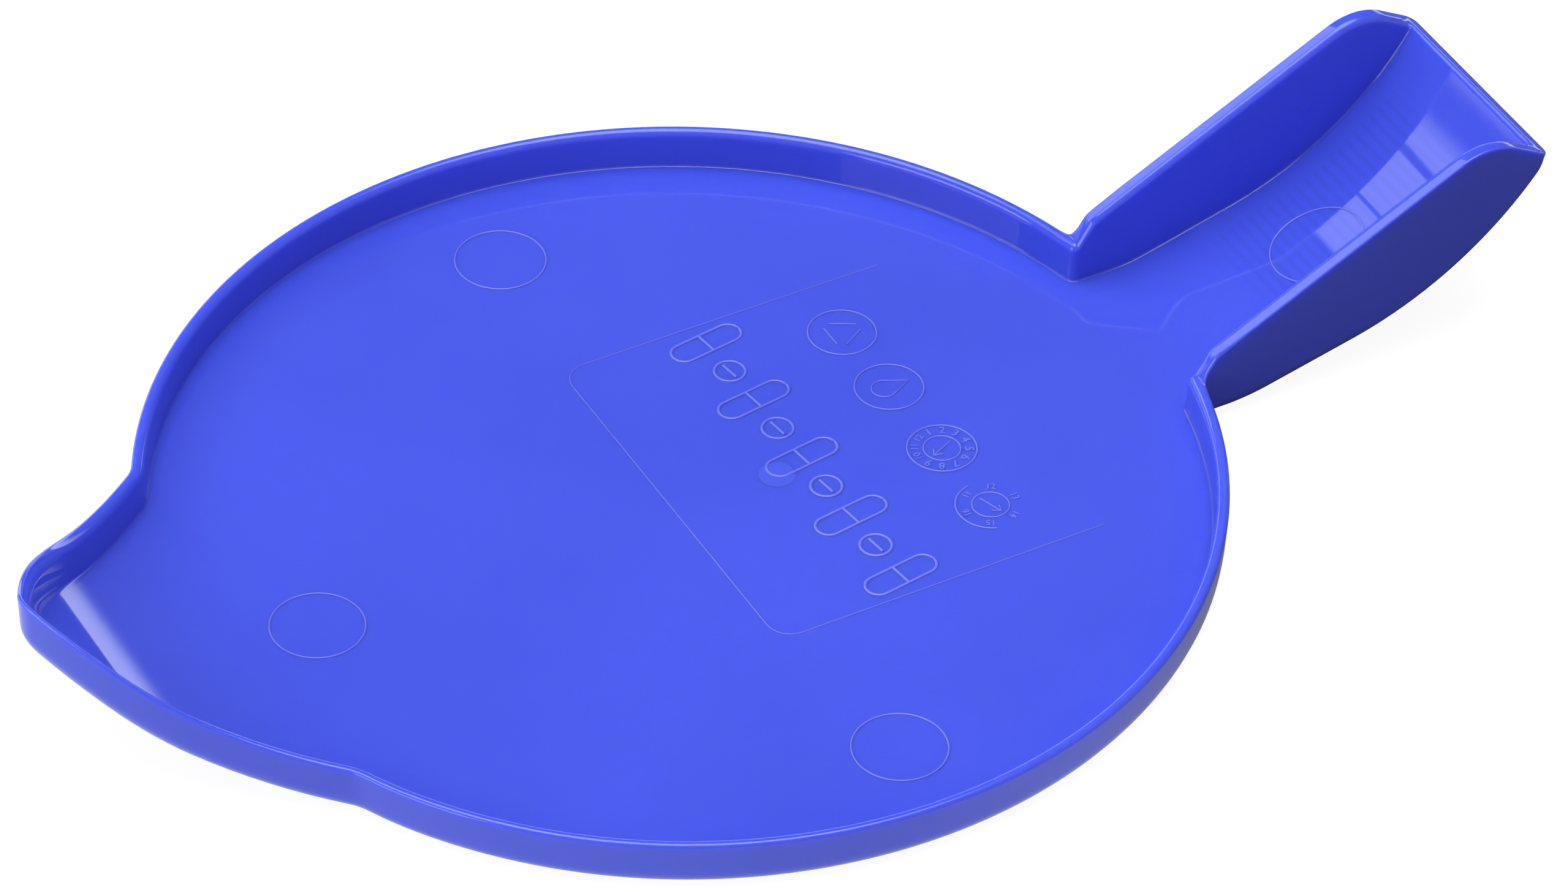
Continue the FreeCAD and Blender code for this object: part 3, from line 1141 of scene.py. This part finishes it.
def dress_and_close(nodes: Nodes, shape: bpy.types.NodeSocket) -> bpy.types.NodeTree:
    """Ends a geometry tree: instances made real, material set, result put out.

    Args:
        nodes: The tree's nodes, with an input named Material.
        shape: The shape's output.

    Returns:
        The tree.
    """
    given = nodes.tree.nodes[0].outputs
    real = nodes.add("GeometryNodeRealizeInstances", {0: shape})
    dressed = nodes.add("GeometryNodeSetMaterial", {0: real.outputs[0],
                                                    "Material": given["Material"]})
    nodes.add("NodeGroupOutput", {0: dressed.outputs[0]})
    return nodes.tree


def raised_line_tree() -> bpy.types.NodeTree:
    """Geometry tree that turns loose edges into low rounded ridges.

    Returns:
        The tree.
    """
    nodes = new_group("raised line", "GeometryNodeTree",
                      [("Lines", "NodeSocketGeometry", None),
                       ("Line Width", "NodeSocketFloat", 0.35 * MM),
                       ("Line Height", "NodeSocketFloat", 0.15 * MM),
                       ("Profile Sides", "NodeSocketInt", 10),
                       ("Material", "NodeSocketMaterial", None)],
                      [("Geometry", "NodeSocketGeometry")])
    given = nodes.tree.nodes[0].outputs
    curve = nodes.add("GeometryNodeMeshToCurve", {0: given["Lines"]})
    upright = nodes.add("GeometryNodeSetCurveNormal", {"Curve": curve.outputs[0]}, mode="Z_UP")
    round_line = nodes.add("GeometryNodeCurvePrimitiveCircle",
                           {"Resolution": given["Profile Sides"], "Radius": 1.0})
    size = nodes.add("ShaderNodeCombineXYZ", {0: nodes.math("MULTIPLY", given["Line Width"], 0.5),
                                              1: given["Line Height"], 2: 1.0})
    profile = nodes.add("GeometryNodeTransform", {"Geometry": round_line.outputs[0],
                                                  "Scale": size.outputs[0]})
    ridge = nodes.add("GeometryNodeCurveToMesh", {0: upright.outputs[0], 1: profile.outputs[0],
                                                  "Fill Caps": True})
    return dress_and_close(nodes, ridge.outputs[0])


def grip_rib_tree() -> bpy.types.NodeTree:
    """Geometry tree that sets round-backed ribs along a path, square to it.

    Returns:
        The tree.
    """
    nodes = new_group("grip ribs", "GeometryNodeTree",
                      [("Path", "NodeSocketGeometry", None),
                       ("Rib Count", "NodeSocketInt", 24),
                       ("Rib Width", "NodeSocketFloat", 0.9 * MM),
                       ("Rib Height", "NodeSocketFloat", 0.5 * MM),
                       ("Rib Length", "NodeSocketFloat", 30.0 * MM),
                       ("Section Sides", "NodeSocketInt", 16),
                       ("Material", "NodeSocketMaterial", None)],
                      [("Geometry", "NodeSocketGeometry")])
    given = nodes.tree.nodes[0].outputs
    curve = nodes.add("GeometryNodeMeshToCurve", {0: given["Path"]})
    stops = nodes.add("GeometryNodeResampleCurve", {"Curve": curve.outputs[0],
                                                    "Count": given["Rib Count"]})
    half = nodes.math("MULTIPLY", given["Rib Length"], 0.5)
    start = nodes.add("ShaderNodeCombineXYZ", {1: nodes.math("MULTIPLY", half, -1.0)})
    end = nodes.add("ShaderNodeCombineXYZ", {1: half})
    spine = nodes.add("GeometryNodeCurvePrimitiveLine", {"Start": start.outputs[0],
                                                         "End": end.outputs[0]})
    section = nodes.add("GeometryNodeCurvePrimitiveCircle",
                        {"Resolution": given["Section Sides"], "Radius": 1.0})
    bar = nodes.add("GeometryNodeCurveToMesh", {0: spine.outputs[0], 1: section.outputs[0],
                                                "Fill Caps": True})
    size = nodes.add("ShaderNodeCombineXYZ", {0: nodes.math("MULTIPLY", given["Rib Width"], 0.5),
                                              1: 1.0, 2: given["Rib Height"]})
    rib = nodes.add("GeometryNodeTransform", {"Geometry": bar.outputs[0],
                                              "Scale": size.outputs[0]})
    tangent = nodes.add("ShaderNodeSeparateXYZ",
                        {0: nodes.add("GeometryNodeInputTangent").outputs[0]})
    pitch = nodes.math("ARCTAN2", tangent.outputs[2], tangent.outputs[0])
    turn = nodes.add("ShaderNodeCombineXYZ", {1: nodes.math("MULTIPLY", pitch, -1.0)})
    rotation = nodes.add("FunctionNodeEulerToRotation", {0: turn.outputs[0]})
    ribs = nodes.add("GeometryNodeInstanceOnPoints",
                     {"Points": stops.outputs[0], "Instance": rib.outputs[0],
                      "Rotation": rotation.outputs[0]})
    return dress_and_close(nodes, ribs.outputs[0])


@dataclass
class GripRibs:
    """Ribs across the underside of the handle's curl."""

    sizes: TraySizes
    profiles: TrayProfiles
    material: bpy.types.Material

    COUNT = 24
    PITCH = 2.0 * MM
    LEAD = 8.0 * MM
    WIDTH = 0.9 * MM
    HEIGHT = 0.5 * MM
    LENGTH = 30.0 * MM
    PATH_STEPS = 240
    BEND_SPAN = 3

    def build(self) -> bpy.types.Object:
        """Makes the ribs.

        Returns:
            The ribs as one piece.
        """
        run_in = self.profiles.underside.spans[self.BEND_SPAN].x_end
        start = self.profiles.underside.walk(run_in, self.LEAD, self.PATH_STEPS)[-1].x
        length = (self.COUNT - 1) * self.PITCH
        points = self.profiles.underside.walk(start, length, self.PATH_STEPS)
        path = bpy.data.meshes.new("rib_path")
        path.from_pydata(points, [(k, k + 1) for k in range(self.PATH_STEPS)], [])
        piece = bake("grip_ribs_round", path, grip_rib_tree(), {
            "Rib Count": self.COUNT, "Rib Width": self.WIDTH, "Rib Height": self.HEIGHT,
            "Rib Length": self.LENGTH, "Material": self.material})
        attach(piece, BODY)
        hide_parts("grip_ribs")
        return piece


@dataclass
class FloorMarks:
    """Fine raised lines of the mould on the tray's floor, with dials, signs and a plain motif."""

    profiles: TrayProfiles
    material: bpy.types.Material
    gate_material: bpy.types.Material
    tree: bpy.types.NodeTree = field(init=False)

    LINE = 0.35 * MM
    LINE_HEIGHT = 0.16 * MM
    FINE_LINE = 0.22 * MM
    FINE_HEIGHT = 0.09 * MM
    SIGN_LINE = 0.3 * MM
    SIGN_HEIGHT = 0.14 * MM
    EJECTOR_RADIUS = 8.0 * MM
    EJECTOR_SIDE_X = 2.4 * MM
    PANEL_CORNER = 4.4 * MM
    ROUNDEL_RADIUS = 6.0 * MM
    ROUNDEL_INNER_Y = 9.1 * MM
    YEAR_RING = (100.0, 250.0)
    DIAL_RADIUS = 3.2 * MM
    ARROW_LENGTH = 4.8 * MM
    ARROW_HEAD = 1.6 * MM
    MONTH_ARROW = 205.0
    YEAR_ARROW = -71.0
    BARS_RADIUS = 4.6 * MM
    BAR_GAP = 0.2
    DROP_RADIUS = 2.2 * MM
    DROP_SIDE = 55.0
    DROP_SHIFT = 1.0 * MM
    DROP_TIP = 3.9 * MM
    NUMERAL = 2.3 * MM
    NUMERAL_PAIR = 0.8
    NUMERAL_CIRCLE = 4.6 * MM
    NUMERAL_RISE = 0.09 * MM
    NUMERAL_BEVEL = 0.03 * MM
    NUMERAL_CURVE_STEPS = 3
    FIRST_MONTH = 90.0
    FIRST_YEAR = 120.0
    MOTIF_LINE = 0.55 * MM
    MOTIF_HEIGHT = 0.2 * MM
    MOTIF_X = 23.5 * MM
    MOTIF_PITCH = 8.5 * MM
    MOTIF_EACH_SIDE = 4
    MOTIF_TILT = 8.0
    CAPSULE = (14.0 * MM, 4.6 * MM)
    TABLET_RADIUS = 2.7 * MM
    GATE = (17.5 * MM, -2.0 * MM)
    GATE_RADIUS = 4.6 * MM
    GATE_HEIGHT = 0.09 * MM
    GATE_SUNK = 0.02 * MM
    GATE_RINGS = 8
    GATE_STEPS = 48

    def __post_init__(self) -> None:
        """Builds the tree that all the lines share."""
        self.tree = raised_line_tree()

    def piece(self, name: str, strokes: Strokes, width: float, height: float,
              node: str | None = None) -> bpy.types.Object:
        """Makes one piece of raised lines.

        Args:
            name: Name of the piece.
            strokes: Its lines.
            width: Width of a line.
            height: How far a line stands up.
            node: The CAD node that the piece stands for, if it does.

        Returns:
            The piece.
        """
        made = bake(name, strokes.mesh(name + "_lines"), self.tree, {
            "Line Width": width, "Line Height": height, "Material": self.material})
        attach(made, BODY)
        if node is not None:
            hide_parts(node)
        return made

    def ejector_rings(self) -> bpy.types.Object:
        """Witness rings of the four ejector pins.

        Returns:
            The piece.
        """
        low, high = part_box("ejector_rings")
        reach = self.EJECTOR_RADIUS + self.LINE / 2.0
        strokes = Strokes(self.profiles)
        places = [(low.x + reach, 0.0), (high.x - reach, 0.0),
                  (self.EJECTOR_SIDE_X, low.y + reach), (self.EJECTOR_SIDE_X, high.y - reach)]
        for place in places:
            strokes.arc(Vector(place), self.EJECTOR_RADIUS)
        return self.piece("ejector_rings_round", strokes, self.LINE, self.LINE_HEIGHT,
                          "ejector_rings")

    def plate_line(self) -> bpy.types.Object:
        """Line left by the mould's plate, open towards the handle.

        Returns:
            The piece.
        """
        low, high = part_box("panel_outline")
        half = self.LINE / 2.0
        corners = [Vector((high.x, high.y - half)), Vector((low.x + half, high.y - half)),
                   Vector((low.x + half, low.y + half)), Vector((high.x, low.y + half))]
        strokes = Strokes(self.profiles)
        strokes.rounded(corners, self.PANEL_CORNER, closed=False)
        return self.piece("plate_line", strokes, self.FINE_LINE, self.FINE_HEIGHT,
                          "panel_outline")

    def roundel_centres(self) -> list[Vector]:
        """Centres of the four roundels.

        Returns:
            The centres (x, y), from -Y to +Y.
        """
        low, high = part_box("date_roundels")
        x = (low.x + high.x) / 2.0
        far = high.y - self.ROUNDEL_RADIUS - self.LINE / 2.0
        return [Vector((x, y)) for y in (-far, -self.ROUNDEL_INNER_Y, self.ROUNDEL_INNER_Y, far)]

    def roundels(self) -> list[bpy.types.Object]:
        """Two dials and two plain signs.

        Returns:
            The pieces: rings, signs and numbers.
        """
        years, months, drop, bars = self.roundel_centres()
        rings = Strokes(self.profiles)
        for centre in (months, drop, bars):
            rings.arc(centre, self.ROUNDEL_RADIUS)
        rings.arc(years, self.ROUNDEL_RADIUS, *self.YEAR_RING)
        signs = Strokes(self.profiles)
        for centre, turn in ((months, self.MONTH_ARROW), (years, self.YEAR_ARROW)):
            signs.arc(centre, self.DIAL_RADIUS)
            signs.arrow(centre, self.ARROW_LENGTH, self.ARROW_HEAD, turn)
        corners = [bars + PlanOutline.unit(a) * self.BARS_RADIUS for a in (0.0, 120.0, 240.0)]
        for corner, following in zip(corners, corners[1:] + corners[:1]):
            signs.path([corner.lerp(following, self.BAR_GAP),
                        corner.lerp(following, 1.0 - self.BAR_GAP)])
        foot = drop - Vector((self.DROP_SHIFT, 0.0))
        tip = drop + Vector((self.DROP_TIP, 0.0))
        left, right = (foot + PlanOutline.unit(a) * self.DROP_RADIUS
                       for a in (self.DROP_SIDE, -self.DROP_SIDE))
        signs.arc(foot, self.DROP_RADIUS, self.DROP_SIDE, 360.0 - self.DROP_SIDE)
        signs.path([left, tip, right])
        return [self.piece("roundel_rings", rings, self.LINE, self.LINE_HEIGHT, "date_roundels"),
                self.piece("roundel_signs", signs, self.SIGN_LINE, self.SIGN_HEIGHT),
                self.numerals(months, years)]

    def numerals(self, months: Vector, years: Vector) -> bpy.types.Object:
        """Raised numbers round the two dials, reading from the handle's side.

        Args:
            months: Centre of the dial with 12 numbers.
            years: Centre of the dial with 6 numbers.

        Returns:
            The piece.
        """
        mesh = bmesh.new()
        dials = ((months, [str(n) for n in range(1, 13)], self.FIRST_MONTH),
                 (years, [str(n) for n in range(11, 17)], self.FIRST_YEAR))
        for centre, labels, first in dials:
            for i, label in enumerate(labels):
                angle = first - 360.0 * i / len(labels)
                place = centre + PlanOutline.unit(angle) * self.NUMERAL_CIRCLE
                self.stamp(mesh, label, place, angle - 90.0)
        bmesh.ops.remove_doubles(mesh, verts=mesh.verts, dist=NUMBER_MERGE)
        bmesh.ops.recalc_face_normals(mesh, faces=mesh.faces)
        piece = finish_mesh(mesh, "dial_numbers")
        piece.data.polygons.foreach_set("use_smooth", [False] * len(piece.data.polygons))
        piece.data.materials.append(self.material)
        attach(piece, BODY)
        return piece

    def stamp(self, mesh: bmesh.types.BMesh, label: str, place: Vector, degrees: float) -> None:
        """Adds one raised number to a mesh.

        Args:
            mesh: The mesh to add to.
            label: The number.
            place: Its centre (x, y).
            degrees: Its turn about the upright axis.
        """
        text = bpy.data.curves.new("number", "FONT")
        text.body = label
        text.size = self.NUMERAL * (1.0 if len(label) == 1 else self.NUMERAL_PAIR)
        text.extrude = self.NUMERAL_RISE
        text.bevel_depth = self.NUMERAL_BEVEL
        text.resolution_u = self.NUMERAL_CURVE_STEPS
        text.align_x = text.align_y = "CENTER"
        source = bpy.data.objects.new("number", text)
        bpy.context.scene.collection.objects.link(source)
        made = bpy.data.meshes.new_from_object(
            source.evaluated_get(bpy.context.evaluated_depsgraph_get()))
        made.transform(Matrix.Translation((place.x, place.y, self.profiles.floor.height(place.x)))
                       @ Matrix.Rotation(math.radians(degrees), 4, "Z"))
        mesh.from_mesh(made)
        bpy.data.objects.remove(source)
        bpy.data.meshes.remove(made)

    def motif(self) -> bpy.types.Object:
        """A plain row of tablets and capsules along the plate.

        Returns:
            The piece.
        """
        strokes = Strokes(self.profiles)
        for i in range(-self.MOTIF_EACH_SIDE, self.MOTIF_EACH_SIDE + 1):
            centre = Vector((self.MOTIF_X, i * self.MOTIF_PITCH))
            if i % 2 == 0:
                strokes.capsule(centre, *self.CAPSULE, self.MOTIF_TILT)
            else:
                strokes.tablet(centre, self.TABLET_RADIUS, self.MOTIF_TILT + 90.0)
        return self.piece("tablet_motif", strokes, self.MOTIF_LINE, self.MOTIF_HEIGHT)

    def gate_mark(self) -> bpy.types.Object:
        """Soft low swelling where the plastic entered the mould.

        Returns:
            The piece.
        """
        mesh = bmesh.new()
        rings, steps = self.GATE_RINGS, self.GATE_STEPS
        base = self.profiles.floor.height(self.GATE[0])
        rows = []
        for k in range(rings + 1):
            radius = self.GATE_RADIUS * (1.0 - k / rings)
            rise = self.GATE_HEIGHT * 0.5 * (1.0 + math.cos(math.pi * radius / self.GATE_RADIUS))
            rise -= self.GATE_SUNK
            count = steps if k < rings else 1
            rows.append([mesh.verts.new((self.GATE[0] + radius * math.cos(math.tau * i / steps),
                                         self.GATE[1] + radius * math.sin(math.tau * i / steps),
                                         base + rise)) for i in range(count)])
        for lower, upper in zip(rows, rows[1:]):
            for i in range(steps):
                k = (i + 1) % steps
                if len(upper) == 1:
                    mesh.faces.new([lower[i], lower[k], upper[0]])
                else:
                    mesh.faces.new([lower[i], lower[k], upper[k], upper[i]])
        mesh.faces.new(rows[0][::-1])
        bmesh.ops.recalc_face_normals(mesh, faces=mesh.faces)
        piece = finish_mesh(mesh, "gate_mark")
        piece.data.materials.append(self.gate_material)
        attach(piece, BODY)
        return piece

    def build(self) -> list[bpy.types.Object]:
        """Makes all the marks."""
        return [self.ejector_rings(), self.plate_line(), *self.roundels(), self.motif(),
                self.gate_mark()]


# --- studio -------------------------------------------------------------------------------------
@dataclass(frozen=True)
class SoftBox:
    """A rectangular soft light that points at the tray."""

    name: str
    towards: tuple[float, float, float]
    distance: float
    size: tuple[float, float]
    radiance: float
    colour: tuple[float, float, float] = (1.0, 1.0, 1.0)

    def build(self) -> bpy.types.Object:
        """Makes the light.

        Returns:
            The light, pointing at the origin.
        """
        data = bpy.data.lights.new(self.name, "AREA")
        data.shape = "RECTANGLE"
        data.size, data.size_y = self.size
        data.energy = self.radiance * math.pi * self.size[0] * self.size[1]
        data.color = self.colour
        light = bpy.data.objects.new(self.name, data)
        bpy.context.scene.collection.objects.link(light)
        direction = Vector(self.towards).normalized()
        light.location = direction * self.distance
        light.rotation_mode = "QUATERNION"
        light.rotation_quaternion = direction.to_track_quat("Z", "Y")
        return light


@dataclass(frozen=True)
class Studio:
    """Floor, lights and camera. The camera looks down over the spout towards the handle."""

    aim: tuple[float, float] = (22.19 * MM, 3.91 * MM)
    heading: float = 59.82
    elevation: float = 40.8
    roll: float = 1.66
    distance: float = 1303.15 * MM
    lens: float = 175.43
    floor_size: float = 6.0
    ambient: float = 0.14
    front_fill: float = 0.36
    strip: float = 2.9
    horizon: float = 2.2
    overhead: float = 5.0
    floor_gap: float = 0.2 * MM
    boxes: tuple[SoftBox, ...] = (
        SoftBox("left_softbox", (-1.0, -0.1, 0.42), 1.2, (0.8, 0.6), 3.2),
    )

    SENSOR = 36.0
    CLIP = (0.05, 20.0)
    STRIP_FOOT = (0.28, 0.42)
    STRIP_HEAD = (0.86, 0.8)
    STRIP_SIDES = ((100.0, 104.0), (148.0, 142.0))
    STRIP_POSTS = (120.3, 133.5)
    POST_EDGE = (0.008, 0.013)
    HORIZON_EDGE = (0.2, 0.06)
    HORIZON_SIDE = (0.15, 0.45)
    OVERHEAD_LEAN = 0.1
    OVERHEAD_EDGE = (0.87, 0.975)
    FRONT_EDGE = (0.1, -0.4)
    LAMP_COLOUR = (0.97, 1.0, 1.0, 1.0)
    ROOM_COLOUR = (1.0, 0.8, 0.9, 1.0)
    WHITE = (1.0, 1.0, 1.0, 1.0)
    TABLE_COLOUR = (0.14, 0.14, 0.14, 1.0)
    TABLE_EDGE = (0.1, 0.01)
    TABLE_GLOW = 0.75
    TABLE_SEEN = 0.93
    TABLE_SEGMENTS = 8

    def build_camera(self, floor_height: float) -> bpy.types.Object:
        """Makes the camera, aimed at a point on the dish's floor.

        Args:
            floor_height: Height of that floor.

        Returns:
            The camera.
        """
        turn, tilt = math.radians(self.heading), math.radians(self.elevation)
        ahead = Vector((math.cos(turn) * math.cos(tilt), math.sin(turn) * math.cos(tilt),
                        -math.sin(tilt)))
        level = Vector((math.sin(turn), -math.cos(turn), 0.0))
        right = Matrix.Rotation(-math.radians(self.roll), 3, ahead) @ level
        up = right.cross(ahead)
        data = bpy.data.cameras.new("camera")
        data.sensor_fit = "HORIZONTAL"
        data.sensor_width = self.SENSOR
        data.lens = self.lens
        data.clip_start, data.clip_end = self.CLIP
        camera = bpy.data.objects.new("camera", data)
        bpy.context.scene.collection.objects.link(camera)
        place = Matrix((right, up, -ahead)).transposed().to_4x4()
        place.translation = Vector((*self.aim, floor_height)) - ahead * self.distance
        camera.matrix_world = place
        bpy.context.scene.camera = camera
        return camera

    def strip_mask(self, nodes: Nodes, axes: bpy.types.NodeOutputs) -> bpy.types.NodeSocket:
        """Mask of the bright strip behind the tray, divided by two posts.

        Args:
            nodes: The world's nodes.
            axes: Parts of the direction looked in.

        Returns:
            1 on the strip, 0 off it.
        """
        azimuth = nodes.math("ARCTAN2", axes[1], axes[0])
        mask = nodes.math("MULTIPLY", nodes.ramp(axes[2], *self.STRIP_FOOT),
                          nodes.ramp(axes[2], *self.STRIP_HEAD))
        for side in self.STRIP_SIDES:
            mask = nodes.math("MULTIPLY", mask, nodes.ramp(azimuth, *map(math.radians, side)))
        for post in self.STRIP_POSTS:
            off = nodes.math("ABSOLUTE", nodes.math("SUBTRACT", azimuth, math.radians(post)))
            mask = nodes.math("MULTIPLY", mask, nodes.ramp(off, *self.POST_EDGE))
        return mask

    def build_world(self) -> bpy.types.World:
        """Makes the surroundings: dim all round, with bright parts behind and above the tray.

        Returns:
            The world.
        """
        world = bpy.data.worlds.new("surroundings")
        bpy.context.scene.world = world
        world.use_nodes = True
        nodes = Nodes(world.node_tree)
        axes = nodes.add("ShaderNodeSeparateXYZ",
                         {0: nodes.add("ShaderNodeTexCoord").outputs["Generated"]}).outputs
        low = nodes.math("MULTIPLY", nodes.ramp(axes[2], *self.HORIZON_EDGE),
                         nodes.ramp(axes[1], *self.HORIZON_SIDE))
        lean = nodes.math("MULTIPLY", axes[1], self.OVERHEAD_LEAN)
        over = nodes.ramp(nodes.math("ADD", axes[2], lean), *self.OVERHEAD_EDGE)
        front = nodes.ramp(axes[1], *self.FRONT_EDGE)
        strip = self.strip_mask(nodes, axes)
        strength = nodes.math("ADD", nodes.math("MULTIPLY", strip, self.strip),
                              nodes.math("MULTIPLY", low, self.horizon))
        strength = nodes.math("ADD", strength, nodes.math("MULTIPLY", over, self.overhead))
        dim = nodes.math("ADD", nodes.math("MULTIPLY", front, self.front_fill), self.ambient)
        bright = nodes.add("ShaderNodeBackground", {0: self.LAMP_COLOUR, 1: strength})
        room = nodes.add("ShaderNodeBackground", {0: self.ROOM_COLOUR, 1: dim})
        back = nodes.add("ShaderNodeAddShader", {0: bright.outputs[0], 1: room.outputs[0]})
        seen = nodes.add("ShaderNodeBackground", {0: self.WHITE, 1: 1.0})
        path = nodes.add("ShaderNodeLightPath")
        mix = nodes.add("ShaderNodeMixShader", {0: path.outputs["Is Camera Ray"],
                                                1: back.outputs[0], 2: seen.outputs[0]})
        world.node_tree.links.new(mix.outputs[0],
                                  world.node_tree.nodes["World Output"].inputs["Surface"])
        return world

    def floor_material(self) -> bpy.types.Material:
        """A matt floor that shows as plain white round the tray, and not at all from below.
        Towards the tray it glows with painted bounce light, strong on the spout's side and fading
        out towards the handle.

        Returns:
            The material.
        """
        material = bpy.data.materials.new("studio_floor")
        material.use_nodes = True
        material.node_tree.nodes.clear()
        nodes = Nodes(material.node_tree)
        axes = nodes.add("ShaderNodeSeparateXYZ",
                         {0: nodes.add("ShaderNodeTexCoord").outputs["Object"]}).outputs
        matt = nodes.add("ShaderNodeBsdfDiffuse", {"Color": self.TABLE_COLOUR})
        # Painted light: for rays other than the camera's, the floor emits light at full strength
        # below x = 0.01 m, fading out by x = 0.1 m. This stands in for a pool of light from the
        # left bounced off the table.
        glow = nodes.math("MULTIPLY", nodes.ramp(axes[0], *self.TABLE_EDGE), self.TABLE_GLOW)
        bounce = nodes.add("ShaderNodeEmission", {"Strength": glow})
        seen = nodes.add("ShaderNodeEmission", {"Strength": self.TABLE_SEEN})
        path = nodes.add("ShaderNodeLightPath")
        light = nodes.add("ShaderNodeMixShader", {0: path.outputs["Is Camera Ray"],
                                                  1: bounce.outputs[0], 2: seen.outputs[0]})
        mix = nodes.add("ShaderNodeAddShader", {0: matt.outputs[0], 1: light.outputs[0]})
        sides = nodes.add("ShaderNodeNewGeometry")
        clear = nodes.add("ShaderNodeBsdfTransparent")
        lid = nodes.add("ShaderNodeMixShader", {0: sides.outputs["Backfacing"],
                                                1: mix.outputs[0], 2: clear.outputs[0]})
        nodes.add("ShaderNodeOutputMaterial", {"Surface": lid.outputs[0]})
        return material

    def build(self, floor_height: float) -> None:
        """Makes the camera, the pale floor, the surroundings and the soft light.

        Args:
            floor_height: Height of the dish's floor.
        """
        self.build_camera(floor_height)
        mesh = bmesh.new()
        bmesh.ops.create_grid(mesh, x_segments=self.TABLE_SEGMENTS,
                              y_segments=self.TABLE_SEGMENTS, size=self.floor_size / 2.0)
        bmesh.ops.translate(mesh, vec=(0.0, 0.0, -self.floor_gap), verts=mesh.verts)
        floor = finish_mesh(mesh, "studio_floor")
        floor.data.materials.append(self.floor_material())
        self.build_world()
        for box in self.boxes:
            box.build()
        bpy.context.scene.view_settings.view_transform = "Standard"


def main() -> None:
    """Builds the tray and its studio."""
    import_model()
    sizes = TraySizes.from_frame()
    profiles = TrayProfiles(sizes)
    surface = PlasticSurface()
    curl = profiles.floor.spans[-2]
    first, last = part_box("grip_ribs")
    bands = GhostBands(centre_x=curl.x, radius=curl.radius, pitch=GripRibs.PITCH,
                       first_x=first.x, last_x=last.x, half_length=GripRibs.LENGTH / 2.0)
    deep, bright = (0.059, 0.096, 0.67), (0.067, 0.106, 0.71)
    # Painted highlight: the raised lines, signs and numbers are the same plastic as the tray, but
    # their blue is made lighter than the tray's to stand in for light catching on their rounded
    # tops.
    line_deep_highlit, line_bright_highlit = (0.10, 0.14, 0.75), (0.14, 0.18, 0.80)
    shell_blue = PlasticFinish("moulded blue", deep, bright, roughness=0.03, scratches=0.35,
                               dust=0.5, glow=1.0, bands=bands)
    line_blue_highlit = PlasticFinish("raised line blue, painted highlight", line_deep_highlit, line_bright_highlit, roughness=0.12,
                              scratches=0.1, dust=0.0)
    gate_blue = PlasticFinish("gate blue", deep, bright, roughness=0.05, scratches=0.1, dust=0.0)
    grip_blue = PlasticFinish("grip blue", deep, bright, roughness=0.2, scratches=0.5, dust=0.2)

    tray = TrayMoulding(sizes, EdgeSizes(), profiles).build()
    tray.data.materials.append(shell_blue.build(surface))
    pieces = [tray, GripRibs(sizes, profiles, grip_blue.build(surface)).build()]
    pieces += FloorMarks(profiles, line_blue_highlit.build(surface), gate_blue.build(surface)).build()
    for piece in pieces:
        log.info("%s: %d faces", piece.name, len(piece.data.polygons))
    Studio().build(sizes.floor)


if __name__ == "__main__":
    main()
